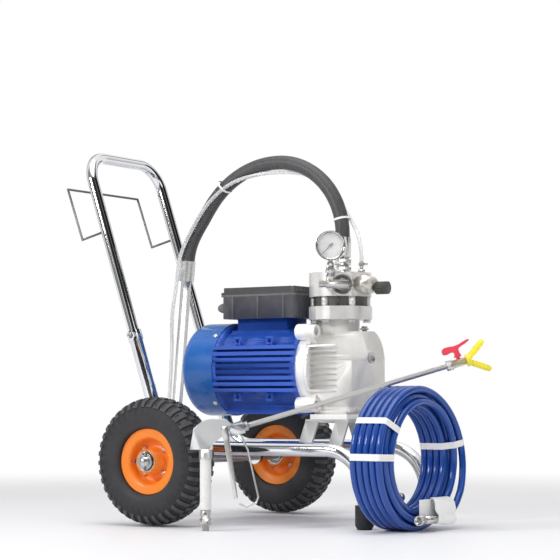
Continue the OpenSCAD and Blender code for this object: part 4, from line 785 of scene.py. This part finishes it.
hose_line = [Vector((inlet.x, 0, head_top + z)) for z in hose_starts]
hose_line += [polar(arch_x, arch_z, arch_r, 90 * i / 9) for i in range(10)]
hose_line += [polar(arch_x, limb_z, side_r, 90 + side_turn * i / 6) for i in range(1, 7)]
hose_line += [drop_from - slope_l * slope * 0.5, drop_at]
hose_line += [
    polar(drop_centre.x, drop_centre.z, drop_r, 90 + side_turn + drop_turn * i / 3)
    for i in (1, 2, 3)
]
hose_line += [tail + hose_tail_l * down]
hose_rubber = finish("hose_rubber", (0.075, 0.075, 0.078), 0.40, spread=0.15, grain=90, pits=0.25,
                     pit_size=1200, specular_ior_level=0.35)
hose = soft_line("suction_line", hose_line, hose_draw_r, hose_rubber, 6, 7)
shown(hose, "cart", "suction_hose")

ferrule_steel = finish("ferrule_steel", (0.80, 0.80, 0.79), 0.22, 1.0, 0.05, 60, 0.06, 500,
                       edge=0.8 * mm)
dress(ferrule_steel, "hose_ferrules")
pipe_steel = finish("pipe_steel", (0.72, 0.72, 0.72), 0.26, 1.0, 0.06, 40, 0.06, 500, edge=0.6 * mm)
dress(pipe_steel, "suction_pipe")

# ---- Return tube ----
# Clear plastic tube, pushed over the bleed nipple and led along the hose and down beside the
# dip pipe. White cable ties hold it.

tube_draw_r = 0.0039
tube_tie_wide = 4.5 * mm
tube_tie_thick = 0.9 * mm
tube_clear = finish("tube_clear", (0.90, 0.91, 0.91), 0.18, spread=0.03, grain=40,
                    transmission_weight=0.55, ior=1.3)


def beside(x, z, r, degrees, round_it, away):
    """A place beside the hose's arc: round_it turns from under the hose to its near side."""
    inward = r - away * math.cos(math.radians(round_it))
    place = polar(x, z, inward, degrees)
    place.y = -away * math.sin(math.radians(round_it))
    return place


def by_pipe(d, round_it, away):
    """A place beside the dip pipe, d down from the end of the hose."""
    a = math.radians(round_it)
    return tail + d * down + away * Vector((math.cos(a), -math.sin(a), 0))


# Along the arch, then the far limb: place in degrees, and where round the hose.
arch_places = ((16, -105), (42, -85), (66, -45), (90, 0))
limb_places = ((106, 30), (122, 60), (138, 80), (90 + side_turn, 88))
nipple = Vector((0.342, 0, head_top))
gap = 0.0206
# Beside the dip pipe: down from the hose's end, round the pipe, away from it.
pipe_places = (
    (-0.014, 102, gap + 0.002), (0.020, 112, gap + 0.003), (0.056, 126, gap + 0.002),
    (0.110, 150, 0.025), (0.200, 170, 0.022), (0.320, 180, 0.022), (0.420, 180, 0.022),
)
tube_line = [nipple + Vector((0, 0, z)) for z in (0.008, 0.026, 0.034)]
tube_line += [nipple + Vector((-0.005, 0.003, 0.060)), nipple + Vector((-0.020, 0.012, 0.090))]
tube_line += [
    beside(arch_x, arch_z, arch_r, degrees, round_it, gap)
    for degrees, round_it in arch_places
]
tube_line += [
    beside(arch_x, limb_z, side_r, degrees, round_it, gap)
    for degrees, round_it in limb_places
]
tube_line += [beside(arch_x, limb_z, side_r, 90 + side_turn, 92, gap) - slope_l * slope]
tube_line += [by_pipe(d, round_it, away) for d, round_it, away in pipe_places]
tube = soft_line("return_line", tube_line, tube_draw_r, tube_clear, 8, 4)
shown(tube, "cart", "return_tube")



def axes(x, y, z):
    """The turn that lays a piece's own axes along x, y and z."""
    return Matrix((x, y, z)).transposed().to_4x4()


tube_tie_line = round_band((-15.8 * mm, -15.6 * mm), (15.8 * mm, 25.4 * mm), 15.3 * mm)
for i, degrees in enumerate((12, 128)):
    outward = polar(0, 0, 1, degrees)
    near_side = Vector((0, 1, 0)) if degrees < 90 else Vector((0, -1, 0))
    arc_z, arc_r = (arch_z, arch_r) if degrees < 90 else (limb_z, side_r)
    centre = polar(arch_x, arc_z, arc_r, degrees)
    lay = Matrix.Translation(centre) @ axes(outward, near_side, outward.cross(near_side))
    shown(band(f"tube_tie_{i}", tube_tie_line, tube_tie_wide, tube_tie_thick, lay, tie_white), "cart")

# ---- Spray gun ----
# A forged, satin-plated gun with a long two-finger trigger under a bent wire guard, a white
# plastic grip over its hose inlet and a swivel nut at the foot.

gun_satin = finish("gun_satin", (0.76, 0.77, 0.77), 0.30, 0.85, 0.05, 60, 0.08, 500, edge=2.0 * mm,
                   lift=0.15)
dress(gun_satin, "gun_body")
trigger_steel = finish("trigger_steel", (0.72, 0.71, 0.69), 0.3, 0.9, 0.06, 80, 0.1, edge=1.2 * mm)
dress(trigger_steel, "gun_trigger", "trigger_guard", "inlet_swivel")
grip_white = finish("grip_white", (0.84, 0.83, 0.80), 0.42, spread=0.04, grain=60, pits=0.1,
                    edge=1.5 * mm)
dress(grip_white, "gun_grip")

# ---- Extension pole and tip ----
# A plated tube screwed to the gun's nose, a moulded yellow guard on its end nut, and the red
# key that turns the spray tip over for cleaning.

pole_steel = finish("pole_steel", (0.84, 0.83, 0.80), 0.30, 0.75, 0.02, 50, edge=0.6 * mm)
dress(pole_steel, "spray_pole")
joints = frame["record"]["behaviour"]["joints"]
tip_joint = next(joint for joint in joints if joint["name"] == "tip_turn")
tip_up = Vector(tip_joint["axis"]).normalized()
tip_side = tip_up.cross(Vector((0, 0, 1))).normalized()
tip_ahead = tip_side.cross(tip_up)
at_tip = Matrix.Translation(tip_joint["pos_m"]) @ axes(tip_ahead, tip_side, tip_up)
tip_red = finish("tip_red", (0.85, 0.055, 0.10), 0.34, spread=0.05, grain=60, pits=0.08, edge=1.0 * mm)
key_thick = 9 * mm
key_edge = 1.1 * mm
# The key from its side: along the pole, away from the tip's axis.
key_outline = [
    (-28, 27), (-26.5, 32.5), (-22, 35.5), (-12, 35.5), (-2, 34), (8, 35), (18, 38), (27, 40),
    (31, 38.5), (28, 35.5), (19, 32), (9, 29), (5, 26), (5.5, 18), (7, 14), (-6, 14), (-5, 19),
    (-6.5, 22.5), (-11, 23), (-20, 21), (-26, 22),
]
# The turned stem that carries the tip: radius, height.
key_stem = [(0, -7), (3.9, -7), (3.9, 11), (7.5, 11.5), (7.5, 14.5), (0, 14.5)]
bm = bmesh.new()
bm.faces.new([bm.verts.new((x * mm, -key_thick / 2, z * mm)) for x, z in key_outline])
grown = bmesh.ops.extrude_face_region(bm, geom=bm.faces[:])["geom"]
far_side = [v for v in grown if isinstance(v, bmesh.types.BMVert)]
bmesh.ops.translate(bm, verts=far_side, vec=(0, key_thick, 0))
bmesh.ops.recalc_face_normals(bm, faces=bm.faces)
bmesh.ops.bevel(bm, geom=bm.edges[:], offset=key_edge, affect="EDGES", segments=2, profile=0.5,
                material=-1)
lathe(bm, [(r * mm, z * mm) for r, z in key_stem], 32)
bmesh.ops.transform(bm, matrix=at_tip, verts=bm.verts)
shown(solid("tip_key", bm, tip_red), body_holding("spray_tip"), "spray_tip")

guard_yellow = finish("guard_yellow", (0.95, 0.80, 0.045), 0.34, spread=0.04, grain=60, pits=0.08,
                      edge=1.0 * mm)
guard_from = 14 * mm
wing_lean = math.radians(35)
wing_set = 5.5
# The collar on the pole's end nut: radius, height.
guard_collar = [(6, 0), (12.4, 0), (12.4, 3), (10.5, 10), (6, 10), (6, 0)]
# A wing's channel section, and its size at places along it.
wing_section = [
    (12, -9), (5, -8.2), (0.8, -4.6), (0, 0), (0.8, 4.6), (5, 8.2), (12, 9), (12.3, 6.8), (6.4, 5.6),
    (3.6, 3), (2.9, 0), (3.6, -3), (6.4, -5.6), (12.3, -6.8),
]
wing_stations = [(3, 0.8), (12, 0.92), (30, 1.0), (42, 0.97), (48, 0.80), (51, 0.45)]
bm = bmesh.new()
lathe(bm, [(r * mm, z * mm) for r, z in guard_collar], 40)
bmesh.ops.transform(bm, matrix=Matrix.Rotation(math.pi / 2, 4, "Y"), verts=bm.verts)
for side in (1, -1):
    wing = bmesh.new()
    z, size = wing_stations[0]
    ring = [wing.verts.new(((x * size - wing_set) * mm, y * size * mm, z * mm)) for x, y in wing_section]
    cap = wing.faces.new(ring)
    for (z0, size0), (z1, size1) in zip(wing_stations, wing_stations[1:]):
        grown = bmesh.ops.extrude_face_region(wing, geom=[cap])["geom"]
        cap = next(part for part in grown if isinstance(part, bmesh.types.BMFace))
        bmesh.ops.scale(wing, vec=(size1 / size0, size1 / size0, 1), verts=cap.verts,
                        space=Matrix.Translation((1.5 * mm, 0, 0)))
        bmesh.ops.translate(wing, verts=cap.verts, vec=(0, 0, (z1 - z0) * mm))
    bmesh.ops.recalc_face_normals(wing, faces=wing.faces)
    along = Vector((math.cos(wing_lean), 0, side * math.sin(wing_lean)))
    inner = Vector((math.sin(wing_lean), 0, -side * math.cos(wing_lean)))
    across = along.cross(inner)
    bmesh.ops.transform(wing, matrix=axes(inner, across, along), verts=wing.verts)
    part = bpy.data.meshes.new("wing")
    wing.to_mesh(part)
    wing.free()
    bm.from_mesh(part)
    bpy.data.meshes.remove(part)
bmesh.ops.transform(bm, matrix=at_tip @ Matrix.Translation((guard_from, 0, 0)), verts=bm.verts)
bmesh.ops.recalc_face_normals(bm, faces=bm.faces)
shown(rounded(solid("guard_wings", bm, guard_yellow, 50), 0.5 * mm), "cart", "tip_guard")
